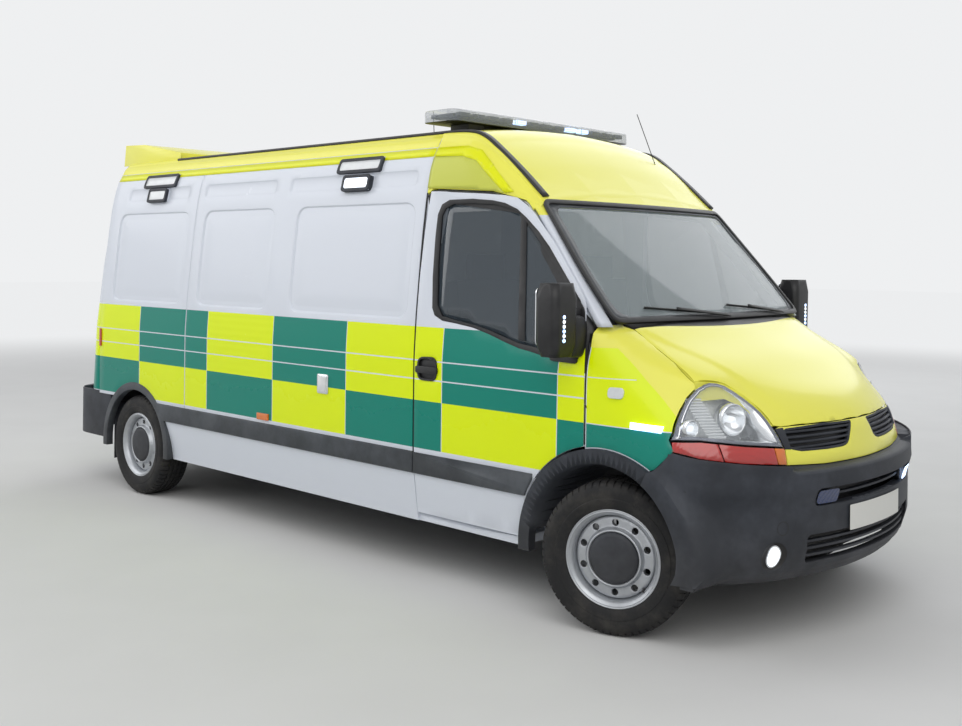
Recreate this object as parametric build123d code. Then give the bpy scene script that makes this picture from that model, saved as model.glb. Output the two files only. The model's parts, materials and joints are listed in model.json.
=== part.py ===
from build123d import *
import math
import os

os.makedirs("parts", exist_ok=True)

# Panel van ambulance, nose toward -Y, its right-hand side at -X, standing on z = 0, in mm.
# Each piece is drawn on the left-hand side (+X) and mirrored where the vehicle has a pair.

# Overall and running gear
REAR_END = 2949.5
FRONT_END = -2949.5
FRONT_AXLE = -2107.5
REAR_AXLE = 1970.5
HUB_Z = 345
TYRE_R = 345
TYRE_W = 225
RIM_R = 216
FRONT_TRACK = 870
REAR_TRACK = 862
HUB_SEAT = 67
WHEEL_ROOM = 172
PARKED_STEER = 18.2
SCRUB = 35
KINGPIN_X = FRONT_TRACK - SCRUB
# Body
GAP = 6
WALL = 45
POST_Y = -880
CORNER_Y = REAR_END - 469.5
FAR = 1100
FRONT_ARCH_R = 420
FRONT_TRIM_R = 485
REAR_ARCH_R = 388
REAR_TRIM_R = 440
FLOOR_TOP = 600
SILL_Z = 300


# Placing helpers
def place_on(axis, at):
    if axis == "x":
        return lambda a, b: (at, a, b)
    if axis == "y":
        return lambda a, b: (a, at, b)
    return lambda a, b: (a, b, at)


def outline(steps, place, grow=0):
    """Closed wire; a step of two numbers is a line to them, of four an arc through the first two."""
    edges = []
    here = steps[0][-2:]
    for step in list(steps[1:]) + [steps[0][-2:]]:
        there = step[-2:]
        if len(step) == 4:
            edges.append(Edge.make_three_point_arc(place(*here), place(*step[:2]), place(*there)))
        elif there != here:
            edges.append(Edge.make_line(place(*here), place(*there)))
        here = there
    wire = Wire(edges)
    return wire.offset_2d(grow, Kind.INTERSECTION) if grow else wire


def slab(steps, axis, low, high, grow=0):
    """Prism of an outline along one axis; the outline may be grown all round, or shrunk."""
    way = {"x": (1, 0, 0), "y": (0, 1, 0), "z": (0, 0, 1)}[axis]
    face = Face(outline(steps, place_on(axis, low), grow))
    return Solid.extrude(face, Vector(*way) * (high - low))


def block(x0, x1, y0, y1, z0, z1):
    return Pos((x0 + x1) / 2, (y0 + y1) / 2, (z0 + z1) / 2) * Box(x1 - x0, y1 - y0, z1 - z0)


def rod(x, y, z, radius, axis, low, high):
    """Cylinder along one axis between two stations; the other two numbers place it."""
    length = high - low
    mid = (low + high) / 2
    if axis == "x":
        return Pos(mid, y, z) * Rot(0, 90, 0) * Cylinder(radius, length)
    if axis == "y":
        return Pos(x, mid, z) * Rot(90, 0, 0) * Cylinder(radius, length)
    return Pos(x, y, mid) * Cylinder(radius, length)


def flipped(shape):
    return shape.mirror(Plane.YZ)


def fused(first, *others):
    whole = first
    for other in others:
        whole = whole + other
    return whole


def both(half):
    """Half section from a side to the middle, continued to the other side."""
    return list(half) + [(-x, other) for x, other in reversed(half[:-1])]


def largest(shape):
    return shape.solids().sort_by(SortBy.VOLUME)[-1]


# Body side section from the sill to the roof joint, outer then inner
SIDE_OUT = [(950, 300), (985, 545), (992, 690), (992, 1160), (958, 1600, 905, 2030), (868, 2190), (800, 2318)]
SIDE_IN = [(760, 2272), (823, 2165), (860, 2030), (913, 1600, 947, 1160), (947, 690), (940, 545), (905, 300)]
ROOF_OUT = [(800, 2318), (748, 2350), (400, 2390), (0, 2405)]
ROOF_IN = [(0, 2360), (400, 2345), (730, 2307), (760, 2272)]
side_skin = slab(SIDE_OUT + SIDE_IN, "y", POST_Y, CORNER_Y)


def shifted(steps, by):
    """Side section moved inward."""
    return [(*[v - by if i % 2 == 0 else v for i, v in enumerate(step)],) for step in steps]


def side_form(inward):
    """The side's outer form moved inward, closed well inside the wall."""
    return slab(shifted(SIDE_OUT, inward) + [(600, 2318), (600, 300)], "y", POST_Y, CORNER_Y)


def arch_cut(y, radius, reach=FAR):
    return rod(0, y, HUB_Z, radius, "x", 500, reach)


def side_patch(y0, y1, z0, z1, corner):
    """Prism through the side with rounded corners."""
    plate = block(750, FAR, y0, y1, z0, z1)
    return fillet(plate.edges().filter_by(Axis.X), corner)


# Window pressings and small upper pressings: y from, y to, z from, z to
PRESSINGS = [(-810, 225, 1350, 1975), (440, 1225, 1350, 1975), (1405, 2330, 1350, 1975)]
UPPER_PRESSINGS = [(-790, 330, 2060, 2150), (470, 1260, 2060, 2150), (1450, 2250, 2060, 2150)]
PRESS_DEPTH = 6
PRESS_CORNER = 60
UPPER_CORNER = 30
press_body = side_form(PRESS_DEPTH)
recesses = [side_patch(*place, PRESS_CORNER) - press_body for place in PRESSINGS]
recesses += [side_patch(*place, UPPER_CORNER) - press_body for place in UPPER_PRESSINGS]

# Side lamps high on the body: y from, y to, z from, z to, height
SIDE_LAMPS = [(1640, 2050, 2155, 2240, 16), (-480, -110, 2160, 2240, 16), (1720, 1950, 2052, 2140, 26)]
POD = (-420, -190, 2055, 2140, 26)


def side_lamp(y0, y1, z0, z1, height):
    return block(750, FAR, y0, y1, z0, z1) & side_form(-height)


# Sliding load door on the left: its opening in the side
SLIDE = (-760, 440, 360, 2120)

RAIL = (446, 1720, 1180, 1206)
RAIL_DEPTH = 14

side_left = side_skin - arch_cut(REAR_AXLE, REAR_TRIM_R)
side_left = side_left - block(800, FAR, REAR_AXLE, CORNER_Y + 10, 200, 684)
side_right = side_left
for recess in recesses:
    side_right = side_right - recess
for place in SIDE_LAMPS + [POD]:
    side_right = side_right + side_lamp(*place)
side_right = flipped(side_right)
slide_hole = block(600, FAR, *SLIDE)
sliding_door = side_skin & block(600, FAR, SLIDE[0] + GAP, SLIDE[1] - GAP, SLIDE[2] + GAP, SLIDE[3] - GAP)
sliding_door = sliding_door - recesses[0]
side_left = side_left - slide_hole - recesses[1] - recesses[2] - recesses[5]
side_left = side_left - (side_patch(*RAIL, 10) - side_form(RAIL_DEPTH))
for place in SIDE_LAMPS:
    side_left = side_left + side_lamp(*place)

# Roof of the load space with its two black strips
roof = slab(both(ROOF_OUT) + list(reversed(both(ROOF_IN[::-1]))), "y", POST_Y, CORNER_Y)
ROOF_STRIP = [(744, 2340), (764, 2330), (766, 2352), (748, 2360)]
strip_rib = slab(ROOF_STRIP, "y", POST_Y, 1800)
roof = fused(roof, strip_rib, flipped(strip_rib))

# Rear form: rounded corners, leaning forward toward the roof; rows z, half width, rear y
REAR_FORM = [
    (250, 1000, REAR_END - 101.5),
    (1160, 1000, REAR_END - 178.5),
    (1600, 967, REAR_END - 215.5),
    (2030, 914, REAR_END - 251.5),
    (2200, 877, REAR_END - 265.5),
    (2420, 780, REAR_END - 284.5),
]
CORNER_R = 330
REAR_INSET = WALL + 8
REAR_START = CORNER_Y - 180


def rear_wire(z, half, rear, inset=0):
    half, rear, radius = half - inset, rear - inset, CORNER_R - inset
    bend = radius * (1 - math.sqrt(0.5))
    steps = [(-half, REAR_START), (-half, rear - radius), (-half + bend, rear - bend, -half + radius, rear)]
    steps += [(half - radius, rear), (half - bend, rear - bend, half, rear - radius), (half, REAR_START)]
    return outline(steps, place_on("z", z))


rear_outer = Solid.make_loft([rear_wire(*row) for row in REAR_FORM], True)
rear_inner = Solid.make_loft([rear_wire(*row, inset=REAR_INSET) for row in REAR_FORM], True)
full_out = SIDE_OUT + ROOF_OUT[1:] + [(-x, z) for x, z in reversed(ROOF_OUT[:-1])]
full_out += [(-step[-2], step[-1]) for step in reversed(SIDE_OUT)]
full_solid = slab(full_out, "y", CORNER_Y, REAR_END)
hollow = [(905, 250), (940, 545), (947, 1160), (860, 2030), (823, 2165), (760, 2272), (730, 2307), (0, 2360)]
hollow_solid = slab(both(hollow), "y", CORNER_Y - 10, REAR_END)
rear_body = full_solid & rear_outer
rear_shell = rear_body - (hollow_solid & rear_inner)
DOOR_HALF = 762
DOOR_LOW, DOOR_HIGH = 600, 2225
# The leaning hinge line lifts the doors' inner top edge as they open
LEAN_RISE = 12
REAR_REACH = REAR_END + 50


def rear_band(x0, x1, z0, z1):
    """Box through the rear wall."""
    return block(x0, x1, CORNER_Y - 80, REAR_REACH, z0, z1)


def rear_moved(by):
    return Pos(0, by, 0) * rear_outer


rear_frame = rear_shell - rear_band(-DOOR_HALF - GAP, DOOR_HALF + GAP, DOOR_LOW - GAP, DOOR_HIGH + GAP)
rear_frame = rear_frame - rear_band(955, FAR, 200, 684) - rear_band(-FAR, -955, 200, 684)
rear_frame = rear_frame - rear_band(-FAR, FAR, 200, 540)
REAR_LAMP = (812, 936, 800, 1190)
rear_lamp = (rear_moved(8) - rear_moved(-20)) & rear_band(*REAR_LAMP) & full_solid
rear_frame = fused(rear_frame, rear_lamp, flipped(rear_lamp))
DOOR_DEPTH = 52
rear_leaf = rear_body - rear_moved(-DOOR_DEPTH)
rear_door_left = rear_leaf & rear_band(3, DOOR_HALF, DOOR_LOW, DOOR_HIGH - LEAN_RISE)
REAR_GLASS = (150, 640, 1420, 1960)
REAR_PANEL = (120, 650, 760, 1290)
rear_glass_left = (rear_moved(-18) - rear_moved(-24)) & rear_band(*REAR_GLASS)
rear_door_left = rear_door_left - rear_band(*REAR_GLASS)
rear_door_left = fused(rear_door_left, rear_glass_left)
rear_door_left = rear_door_left - (rear_band(*REAR_PANEL) - rear_moved(-PRESS_DEPTH))

# Rear door hinges on the leaning line: each door barrel rests on a frame barrel, and each has its leaf
HINGE_X = DOOR_HALF + 2.5
HINGE_OUT = 18
HINGE_R = 9
LEAN = math.degrees(math.atan(0.0843))
HINGE_LEVEL = 1400
HINGE_LEVELS = [-600, 0, 560]
hinge_line = Pos(HINGE_X, REAR_END - 198.7 + HINGE_OUT, HINGE_LEVEL) * Rot(LEAN, 0, 0)
DOOR_LEAF = [(-60, -48), (-60, -12), (-16, -12), (-4, 5), (-4, -74)]
FRAME_LEAF = [(4, -88), (4, 5), (14, -4), (20, -88)]
BARREL = 60
BARREL_GAP = 0.5
for level in HINGE_LEVELS:
    knuckle = rod(0, 0, 0, HINGE_R, "z", level - BARREL / 2, level + BARREL / 2)
    knuckle = knuckle + slab(DOOR_LEAF, "z", level - BARREL / 2, level + BARREL / 2)
    rear_door_left = rear_door_left + hinge_line * knuckle
    top = level - BARREL / 2 - BARREL_GAP
    fixed = rod(0, 0, 0, HINGE_R, "z", top - BARREL / 2, top) + slab(FRAME_LEAF, "z", top - BARREL / 2, top)
    fixed = hinge_line * fixed
    rear_frame = fused(rear_frame, fixed, flipped(fixed))
rear_door_left = largest(rear_door_left)

# Cab side: straight-ruled skin between the door post and the scuttle; rows x at post, x at front, z
CAB_ROWS = [
    (960, 952, 345),
    (985, 980, 545),
    (992, 985, 690),
    (992, 978, 1160),
    (976, 940, 1340),
    (905, 742, 2030),
    (895, 727, 2080),
]


def cab_wire(column, y, outer, depth):
    away = [(row[column] - outer, row[2]) for row in CAB_ROWS]
    inner = [(row[column] - outer - depth, row[2]) for row in reversed(CAB_ROWS)]
    return outline(away + inner, place_on("y", y))


def cab_skin(outer, depth):
    return Solid.make_loft([cab_wire(1, -2120, outer, depth), cab_wire(0, POST_Y, outer, depth)], True)


# Cab door edges in side view
ARC_END = math.sqrt(497**2 - (347 - HUB_Z) ** 2)
CAB_DOOR = [
    (POST_Y - GAP, 347),
    (POST_Y - GAP, 2005),
    (-920, 2035),
    (-1300, 2012),
    (-1497, 1962),
    (-1523, 1945),
    (-1997, 1370),
    (-1998, 830),
    (-1719, 655, FRONT_AXLE + ARC_END, 347),
]
DOOR_GLASS = [(-972, 1392), (-1030, 1962), (-1478, 1902), (-1885, 1425), (-1905, 1240)]
DOOR_GLASS += [(-1621, 1262), (-1010, 1380)]
door_prism = slab(CAB_DOOR, "x", 600, FAR)
glass_prism = slab(DOOR_GLASS, "x", 600, FAR)
cab_door_left = (cab_skin(0, WALL) & door_prism) - glass_prism
door_glass_left = cab_skin(14, 6) & glass_prism
# Mirror casing: rounded levels, x from, x to, y from, y to; narrower at the foot
MIRROR_LEVELS = [
    (1240, 1040, 1172, -1984, -1880),
    (1290, 1026, 1188, -1996, -1868),
    (1500, 1022, 1190, -1998, -1865),
    (1570, 1034, 1180, -1988, -1880),
]
MIRROR_CORNER = 34


def rounded_wire(z, x0, x1, y0, y1):
    wire = outline([(x0, y0), (x1, y0), (x1, y1), (x0, y1)], place_on("z", z))
    return wire.fillet_2d(MIRROR_CORNER, wire.vertices())


mirror_case = Solid.make_loft([rounded_wire(*row) for row in MIRROR_LEVELS], True)
arm = block(935, 1040, -1945, -1905, 1255, 1300) + block(880, 1040, -1935, -1900, 1420, 1452)
arm = arm - glass_prism
FOOT = [(-1820, 1200), (-1965, 1200), (-1965, 1395), (-1925, 1445), (-1840, 1475)]
foot = cab_skin(-2, 46) & slab(FOOT, "x", 600, FAR)
foot = (foot & door_prism) - glass_prism
cab_door_left = fused(cab_door_left, foot, arm, mirror_case)
door_strip = [(985.34, 552), (1000, 556), (1000, 664), (990.94, 668)]
DOOR_ARCH_GAP = 16
strip = slab([(965, 552), (1000, 556), (1000, 664), (965, 668)], "y", -1700, POST_Y - GAP - 1)
cab_door_left = cab_door_left + (strip - arch_cut(FRONT_AXLE, FRONT_TRIM_R + DOOR_ARCH_GAP))
# Handle in its recess: y from, y to, z from, z to
HANDLE_CUP = (-1050, -906, 1040, 1156)
HANDLE_BAR = (-1056, -900, 1084, 1110)
CUP_DEPTH = 16
cab_door_left = cab_door_left - (cab_skin(-6, 6 + CUP_DEPTH) & block(900, FAR, *HANDLE_CUP))
cab_door_left = cab_door_left + (cab_skin(-6, 14) & block(900, FAR, *HANDLE_BAR))

# Nose form: level rows of half-plan points from the door shut round to the centreline
NOSE = [
    (780, [(985, -2004), (984, -2250), (965, -2440), (900, -2580), (740, -2720), (420, -2836), (0, -2885)]),
    (870, [(985, -2004), (981, -2250), (955, -2430), (880, -2570), (715, -2705), (400, -2820), (0, -2862)]),
    (960, [(985, -2004), (976, -2250), (930, -2420), (845, -2550), (680, -2680), (380, -2785), (0, -2838)]),
    (1060, [(984, -2004), (967, -2200), (905, -2370), (810, -2500), (640, -2610), (350, -2700), (0, -2738)]),
    (1140, [(981, -2004), (958, -2150), (880, -2330), (790, -2480), (620, -2540), (340, -2590), (0, -2608)]),
    (1220, [(970, -2004), (938, -2120), (865, -2260), (780, -2360), (610, -2425), (330, -2460), (0, -2478)]),
    (1300, [(948, -2004), (905, -2090), (845, -2170), (770, -2210), (600, -2262), (320, -2300), (0, -2318)]),
    (1370, [(905, -2004), (850, -2040), (800, -2080), (700, -2110), (560, -2150), (300, -2180), (0, -2190)]),
    (1392, [(720, -2004), (640, -2020), (560, -2040), (480, -2060), (380, -2080), (200, -2100), (0, -2110)]),
]


def nose_wire(z, half, inset):
    steps = [(x * (1 - inset / 990), y + inset) for x, y in half]
    return outline(both(steps), place_on("z", z - inset * 0.8))


def nose_form(inset):
    return Solid.make_loft([nose_wire(z, half, inset) for z, half in NOSE], True)


nose_outer = nose_form(0)
nose_shell = nose_outer - nose_form(24)
# Bonnet in plan: back corner, side, then round the lamp to the grille; its back edge is an arc
BONNET_BACK = (0, -2228, 766, -2125)
BONNET = [(766, -2125), (772, -2250), (785, -2350), (800, -2462), (737, -2497), (670, -2532), (614, -2599)]
BONNET += [(586, -2667), (579, -2726), (560, -2780), (540, -2950)]
bonnet_plan = BONNET + [(-x, y) for x, y in reversed(BONNET)] + [BONNET_BACK]
BONNET_EDGE_Z = 960
bonnet = nose_shell & slab(bonnet_plan, "z", BONNET_EDGE_Z, 1500)
hole_prism = slab(bonnet_plan, "z", BONNET_EDGE_Z - GAP, 1500, grow=GAP)

# Seam above the bumper: from the front, then round the corner from the side
SEAM = [(0, 784), (344, 787), (578, 800), (768, 815), (903, 830), (951, 848), (1010, 868)]
SEAM_SIDE = [(-2440, 845), (-2420, 822), (-2378, 776), (-2349, 760)]

# Headlamps in front view, each with the coloured strip at its foot
LAMP = [(951, 848), (903, 830), (768, 815), (578, 800), (568, 873), (582, 955), (589, 1019), (617, 1077)]
LAMP += [(643, 1107), (675, 1135), (710, 1146), (743, 1150), (777, 1144), (809, 1126), (845, 1083)]
LAMP += [(880, 1033), (919, 971), (948, 905)]
LAMP_DEPTH = 90
lamp_prism = slab(LAMP, "y", -2950, -2330, grow=GAP / 2)
lamp_body = slab(LAMP, "y", -2950, -2330, grow=-GAP / 2)
headlamp_left = largest(((nose_outer - nose_form(LAMP_DEPTH)) & lamp_body) - hole_prism)
wing_side = [(-2004, 1420), (-2004, 700), (-2345, 700)]
wing_side += [(y, z + GAP) for y, z in reversed(SEAM_SIDE)] + [(-2700, 860), (-2700, 1420)]
wing_left = (nose_shell & slab(wing_side, "x", 772, FAR)) - lamp_prism - hole_prism
wing_left = largest(wing_left - arch_cut(FRONT_AXLE, FRONT_TRIM_R))

# Nose panel: two grille openings, a V between them, and slats set back in each
GRILLE = [(75, 955), (545, 951), (556, 905), (545, 868), (500, 856), (300, 850), (170, 850), (130, 864)]
panel_front = [(x, z + GAP / 2) for x, z in SEAM[:4]] + [(768, BONNET_EDGE_Z - GAP), (0, BONNET_EDGE_Z - GAP)]
panel_prism = slab(panel_front, "y", -2950, -2600)
front_panel = (nose_outer - nose_form(50)) & (panel_prism + flipped(panel_prism))
front_panel = front_panel - lamp_prism - flipped(lamp_prism)
grille_cut = slab([(x, min(z, 948)) for x, z in GRILLE], "y", -2950, -2600)
front_panel = front_panel - grille_cut - flipped(grille_cut)
SLAT_SETBACK, SLAT_DEPTH, SLAT_HIGH = 12, 26, 10
SLAT_LEVELS = [863, 884, 905, 926]
slat_shell = (Pos(0, SLAT_SETBACK, 0) * nose_outer) - (Pos(0, SLAT_SETBACK, 0) * nose_form(SLAT_DEPTH))
for level in SLAT_LEVELS:
    slats = slat_shell & block(-562, 562, -2950, -2500, level, level + SLAT_HIGH)
    front_panel = front_panel + (slats & (grille_cut + flipped(grille_cut)))
front_panel = largest(front_panel)

# Scuttle behind the bonnet, on the nose shell
scuttle_plan = [(772, -2004), (772, -2113), (0, -2216, -772, -2113), (-772, -2004)]
scuttle = largest((nose_outer - nose_form(60)) & slab(scuttle_plan, "z", 1200, 1500))

# Windscreen between two plan arcs, and the pillars beside it
GLASS_FOOT, GLASS_TOP = 1398, 1958


def screen_wire(z, half, side_y, mid_y, back):
    steps = [(-half, side_y), (0, mid_y, half, side_y), (half, side_y + back)]
    steps += [(0, mid_y + back, -half, side_y + back)]
    return outline(steps, place_on("z", z))


SCREEN = 12
screen_foot = screen_wire(GLASS_FOOT, 862, -2073, -2150, SCREEN)
windscreen = Solid.make_loft([screen_foot, screen_wire(GLASS_TOP, 783, -1590, -1650, SCREEN)])


def pillar_wire(z, points):
    return outline(points, place_on("z", z))


PILLAR_FOOT = [(862, -2074), (928, -2052), (928, -2005), (862, -2010)]
PILLAR_HEAD = [(783, -1590), (832, -1572), (832, -1531), (783, -1536)]
pillar_left = Solid.make_loft([pillar_wire(1370, PILLAR_FOOT), pillar_wire(1950, PILLAR_HEAD)], True)
pillar_left = pillar_left - windscreen - wing_left - scuttle

# Cab roof, sections from the post forward; rows y then half-section points
CAB_ROOF = [
    (POST_Y, [(915, 1935), (905, 2030), (868, 2190), (800, 2318), (748, 2350), (400, 2390), (0, 2405)]),
    (-FAR, [(890, 1935), (880, 2030), (848, 2180), (795, 2295), (740, 2340), (400, 2378), (0, 2393)]),
    (-1240, [(874, 1935), (862, 2030), (835, 2140), (790, 2225), (740, 2268), (400, 2312), (0, 2328)]),
    (-1420, [(850, 1935), (838, 1985), (820, 2050), (790, 2095), (740, 2125), (400, 2172), (0, 2188)]),
    (-1590, [(826, 1915), (820, 1930), (808, 1945), (788, 1958), (745, 1972), (400, 2010), (0, 2025)]),
    (-1680, [(815, 1825), (806, 1840), (796, 1855), (776, 1870), (742, 1885), (400, 1925), (0, 1940)]),
]


def cab_roof_wire(y, half, depth):
    into = [(half[0][0] - depth, half[0][1])] + [(x * (1 - depth / 900), z - depth) for x, z in half[1:]]
    return outline(both(half) + list(reversed(both(into))), place_on("y", y))


cab_roof = Solid.make_loft([cab_roof_wire(y, half, 32) for y, half in CAB_ROOF], True)
header_plan = [(-950, POST_Y), (950, POST_Y), (950, -1572), (783, -1589), (0, -1649, -783, -1589)]
header_plan += [(-950, -1572)]
cab_roof = cab_roof & slab(header_plan, "z", 1800, 2500)
DOOR_HOLE = [(POST_Y, 300), (POST_Y, 2012), (-917, 2042), (-1302, 2019), (-1501, 1968), (-1530, 1946)]
DOOR_HOLE += [(-2010, 1364), (-2010, 300)]
hole = slab(DOOR_HOLE, "x", 500, FAR)
cab_roof = cab_roof - hole - flipped(hole) - windscreen - pillar_left - flipped(pillar_left)
cab_roof = largest(cab_roof)

# Front bumper: half plan from the middle to the arch, and how far its face stands back by height
BUMPER = [(0, FRONT_END), (310, -2924, 600, -2845), (850, -2694, 961, -2525), (985, -2300)]
BUMPER_BACK = -2300
FACE_ROWS = [(300, 90), (350, 44), (440, 18), (640, 18), (700, 0), (745, 4)]
BUMPER_WALL = 40
FADE = 400


def bumper_point(x, y, inset, tail):
    """A plan point stood back: fully at the front, not at all where the bumper meets the arch."""
    share = min(1, (BUMPER_BACK - y) / FADE)
    back = tail if y == BUMPER_BACK else 0
    return [x * (1 - 0.4 * inset / 985), y + inset * share + back]


def bumper_wire(z, inset, tail=0):
    steps = []
    for step in BUMPER:
        moved = [bumper_point(*step[i:i + 2], inset, tail) for i in range(0, len(step), 2)]
        steps.append(tuple(number for point in moved for number in point))
    ends = [step[-2:] for step in steps]
    other = []
    for step, end in zip(reversed(steps), reversed(ends[:-1])):
        arc = (-step[0], step[1]) if len(step) == 4 else ()
        other.append((*arc, -end[0], end[1]))
    return outline([(-ends[-1][0], ends[-1][1])] + other + steps[1:], place_on("z", z))


def bumper_form(inset, tail=0, rows=FACE_ROWS):
    return Solid.make_loft([bumper_wire(z, face + inset, tail) for z, face in rows], True)


def bumper_bar(outer, inner, low, high):
    """A level bar that follows the bumper's plan between two depths."""
    way = Vector(0, 0, high - low)
    front = Solid.extrude(Face(bumper_wire(low, outer)), way)
    return front - Solid.extrude(Face(bumper_wire(low, inner)), way)


def bumper_skin(outer, inner):
    """The bumper's wall between two depths behind its face."""
    return bumper_form(outer) - bumper_form(inner, tail=60)


front_bumper = bumper_skin(0, BUMPER_WALL)
# Flange that carries the lamps and the nose panel, scooped under the nose
TOP_Z = 870
FLANGE_LOW = 744
FLANGE_IN = 118
SCOOP_HALF = 640
top_rows = [(FLANGE_LOW, 4), (TOP_Z, 4)]
inner_rows = [(FLANGE_LOW - 60, 0), (TOP_Z + 30, 0)]
flange = bumper_form(0, rows=top_rows) - bumper_form(FLANGE_IN, tail=60, rows=inner_rows)
scoop = bumper_form(-40, rows=top_rows) - bumper_form(0, rows=[(FLANGE_LOW, 4), (812, 80), (TOP_Z, 84)])
flange = flange - (scoop & block(-SCOOP_HALF, SCOOP_HALF, -3000, -2700, FLANGE_LOW - 1, TOP_Z + 1))
above_front = [(x, z - GAP / 2) for x, z in SEAM] + [(1010, 900), (0, 900)]
above = slab(above_front, "y", -3000, -2200)
side_steps = [(y, z - GAP / 2) for y, z in SEAM_SIDE]
side_steps += [(-2200, side_steps[-1][1]), (-2200, 900), (SEAM_SIDE[0][0], 900)]
above_side = slab(side_steps, "x", -FAR, FAR)
front_bumper = largest(fused(front_bumper, flange) - above - flipped(above) - above_side)

# Openings in the face and what stands in them: x from, x to, z from, z to
UPPER_SLOT = (-486, 486, 622, 698)
LOWER_GRILLE = (-530, 530, 378, 500)
SLOT_LAMP = (344, 482, 628, 690)
SLOT_STALK = (364, 462, 616, 704)
SLATS = [(490, 655), (534, 404), (534, 434), (534, 464)]
BAR_HIGH = 10
PLATE = (-260, 260, 490, 604)


def face_band(x0, x1, z0, z1):
    return block(x0, x1, -3000, -2600, z0, z1)


front_bumper = front_bumper - face_band(*UPPER_SLOT) - face_band(*LOWER_GRILLE)
for half, level in SLATS:
    bar = bumper_bar(34, 56, level, level + BAR_HIGH)
    front_bumper = front_bumper + (bar & face_band(-half, half, level, level + BAR_HIGH))
slot_lamp = bumper_bar(22, 60, SLOT_LAMP[2], SLOT_LAMP[3]) & face_band(*SLOT_LAMP)
slot_lamp = slot_lamp + (bumper_bar(36, 56, SLOT_STALK[2], SLOT_STALK[3]) & face_band(*SLOT_STALK))
front_bumper = fused(front_bumper, slot_lamp, flipped(slot_lamp))
front_bumper = front_bumper + block(PLATE[0], PLATE[1], -2938, -2895, PLATE[2], PLATE[3])

# Fog lamps in round pockets, and the towing cap
FOG = (688, 425)
FOG_POCKET, FOG_LENS = 66, 46
TOW = (650, 545)
TOW_R = 28
pocket = bumper_skin(-10, 24) & rod(FOG[0], 0, FOG[1], FOG_POCKET, "y", -3000, -2600)
lens = bumper_skin(12, BUMPER_WALL) & rod(FOG[0], 0, FOG[1], FOG_LENS, "y", -3000, -2600)
cap_groove = rod(TOW[0], 0, TOW[1], TOW_R + 3, "y", -3000, -2600)
cap_groove = cap_groove - rod(TOW[0], 0, TOW[1], TOW_R, "y", -3001, -2599)
cap_groove = bumper_skin(-10, 6) & cap_groove
front_bumper = front_bumper - pocket - flipped(pocket) - cap_groove
front_bumper = fused(front_bumper, lens, flipped(lens))

# Wheel arch: cut, trim ring and the liner over the wheel, open for the strut
LINER_IN, LINER_X = 8, 560
STRUT_HOLE = (640, 800, FRONT_AXLE - 110, FRONT_AXLE + 110)
front_bumper = front_bumper - rod(0, FRONT_AXLE, HUB_Z, FRONT_ARCH_R, "x", -FAR, FAR)
ring = rod(0, FRONT_AXLE, HUB_Z, FRONT_TRIM_R, "x", 950, 1000)
ring = ring - rod(0, FRONT_AXLE, HUB_Z, FRONT_ARCH_R, "x", 900, FAR)
liner = rod(0, FRONT_AXLE, HUB_Z, FRONT_ARCH_R + 4, "x", LINER_X, 955)
liner = liner - rod(0, FRONT_AXLE, HUB_Z, FRONT_ARCH_R - LINER_IN, "x", LINER_X - 1, 960)
liner = liner - block(*STRUT_HOLE, 600, 900) - block(500, 960, -2700, -1500, -200, 400)
ring = ring - block(900, FAR, -2700, -1500, -200, SILL_Z)
ring = ring + liner
front_bumper = largest(fused(front_bumper, ring, flipped(ring)))

# Rear bumper with corner caps, and the flaps behind the rear wheels
RING_START = CORNER_Y - 150


def rear_ring(inset, low, high):
    half, rear, radius = 985 - inset, REAR_END - inset, 260 - inset
    bend = radius * (1 - math.sqrt(0.5))
    steps = [(-half, RING_START), (-half, rear - radius), (-half + bend, rear - bend, -half + radius, rear)]
    steps += [(half - radius, rear), (half - bend, rear - bend, half, rear - radius), (half, RING_START)]
    return slab(steps, "z", low, high)


rear_bumper = rear_ring(0, 350, 680) - rear_ring(45, 300, 545)
rear_bumper = rear_bumper - block(-960, 960, REAR_START, REAR_END - 94.5, 535, 720)
rear_bumper = rear_bumper - block(-DOOR_HALF - 30, DOOR_HALF + 30, REAR_START, REAR_REACH, 560, 720)
rear_bumper = rear_bumper - rod(0, REAR_AXLE, HUB_Z, REAR_TRIM_R, "x", -FAR, FAR)
FLAP_Y = RING_START + 14
FLAP_TAB = 584
flap = block(770, 944, FLAP_Y, FLAP_Y + 8, 200, FLAP_TAB + 24)
flap = flap + block(900, 970, FLAP_Y, FLAP_Y + 8, FLAP_TAB, FLAP_TAB + 24)
rear_bumper = fused(rear_bumper, flap, flipped(flap))

# Side mouldings with the rear arch trims
moulding_left = slab(door_strip, "y", POST_Y + 2, REAR_AXLE)
moulding_left = moulding_left - arch_cut(REAR_AXLE, REAR_TRIM_R - 10)
rear_ring_trim = rod(0, REAR_AXLE, HUB_Z, REAR_TRIM_R, "x", 950, 1000)
rear_ring_trim = rear_ring_trim - rod(0, REAR_AXLE, HUB_Z, REAR_ARCH_R, "x", 900, FAR)
rear_ring_trim = rear_ring_trim - block(900, 1100, 1400, 2500, -200, 300)
moulding_left = moulding_left + rear_ring_trim
moulding_right = flipped(moulding_left)

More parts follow.
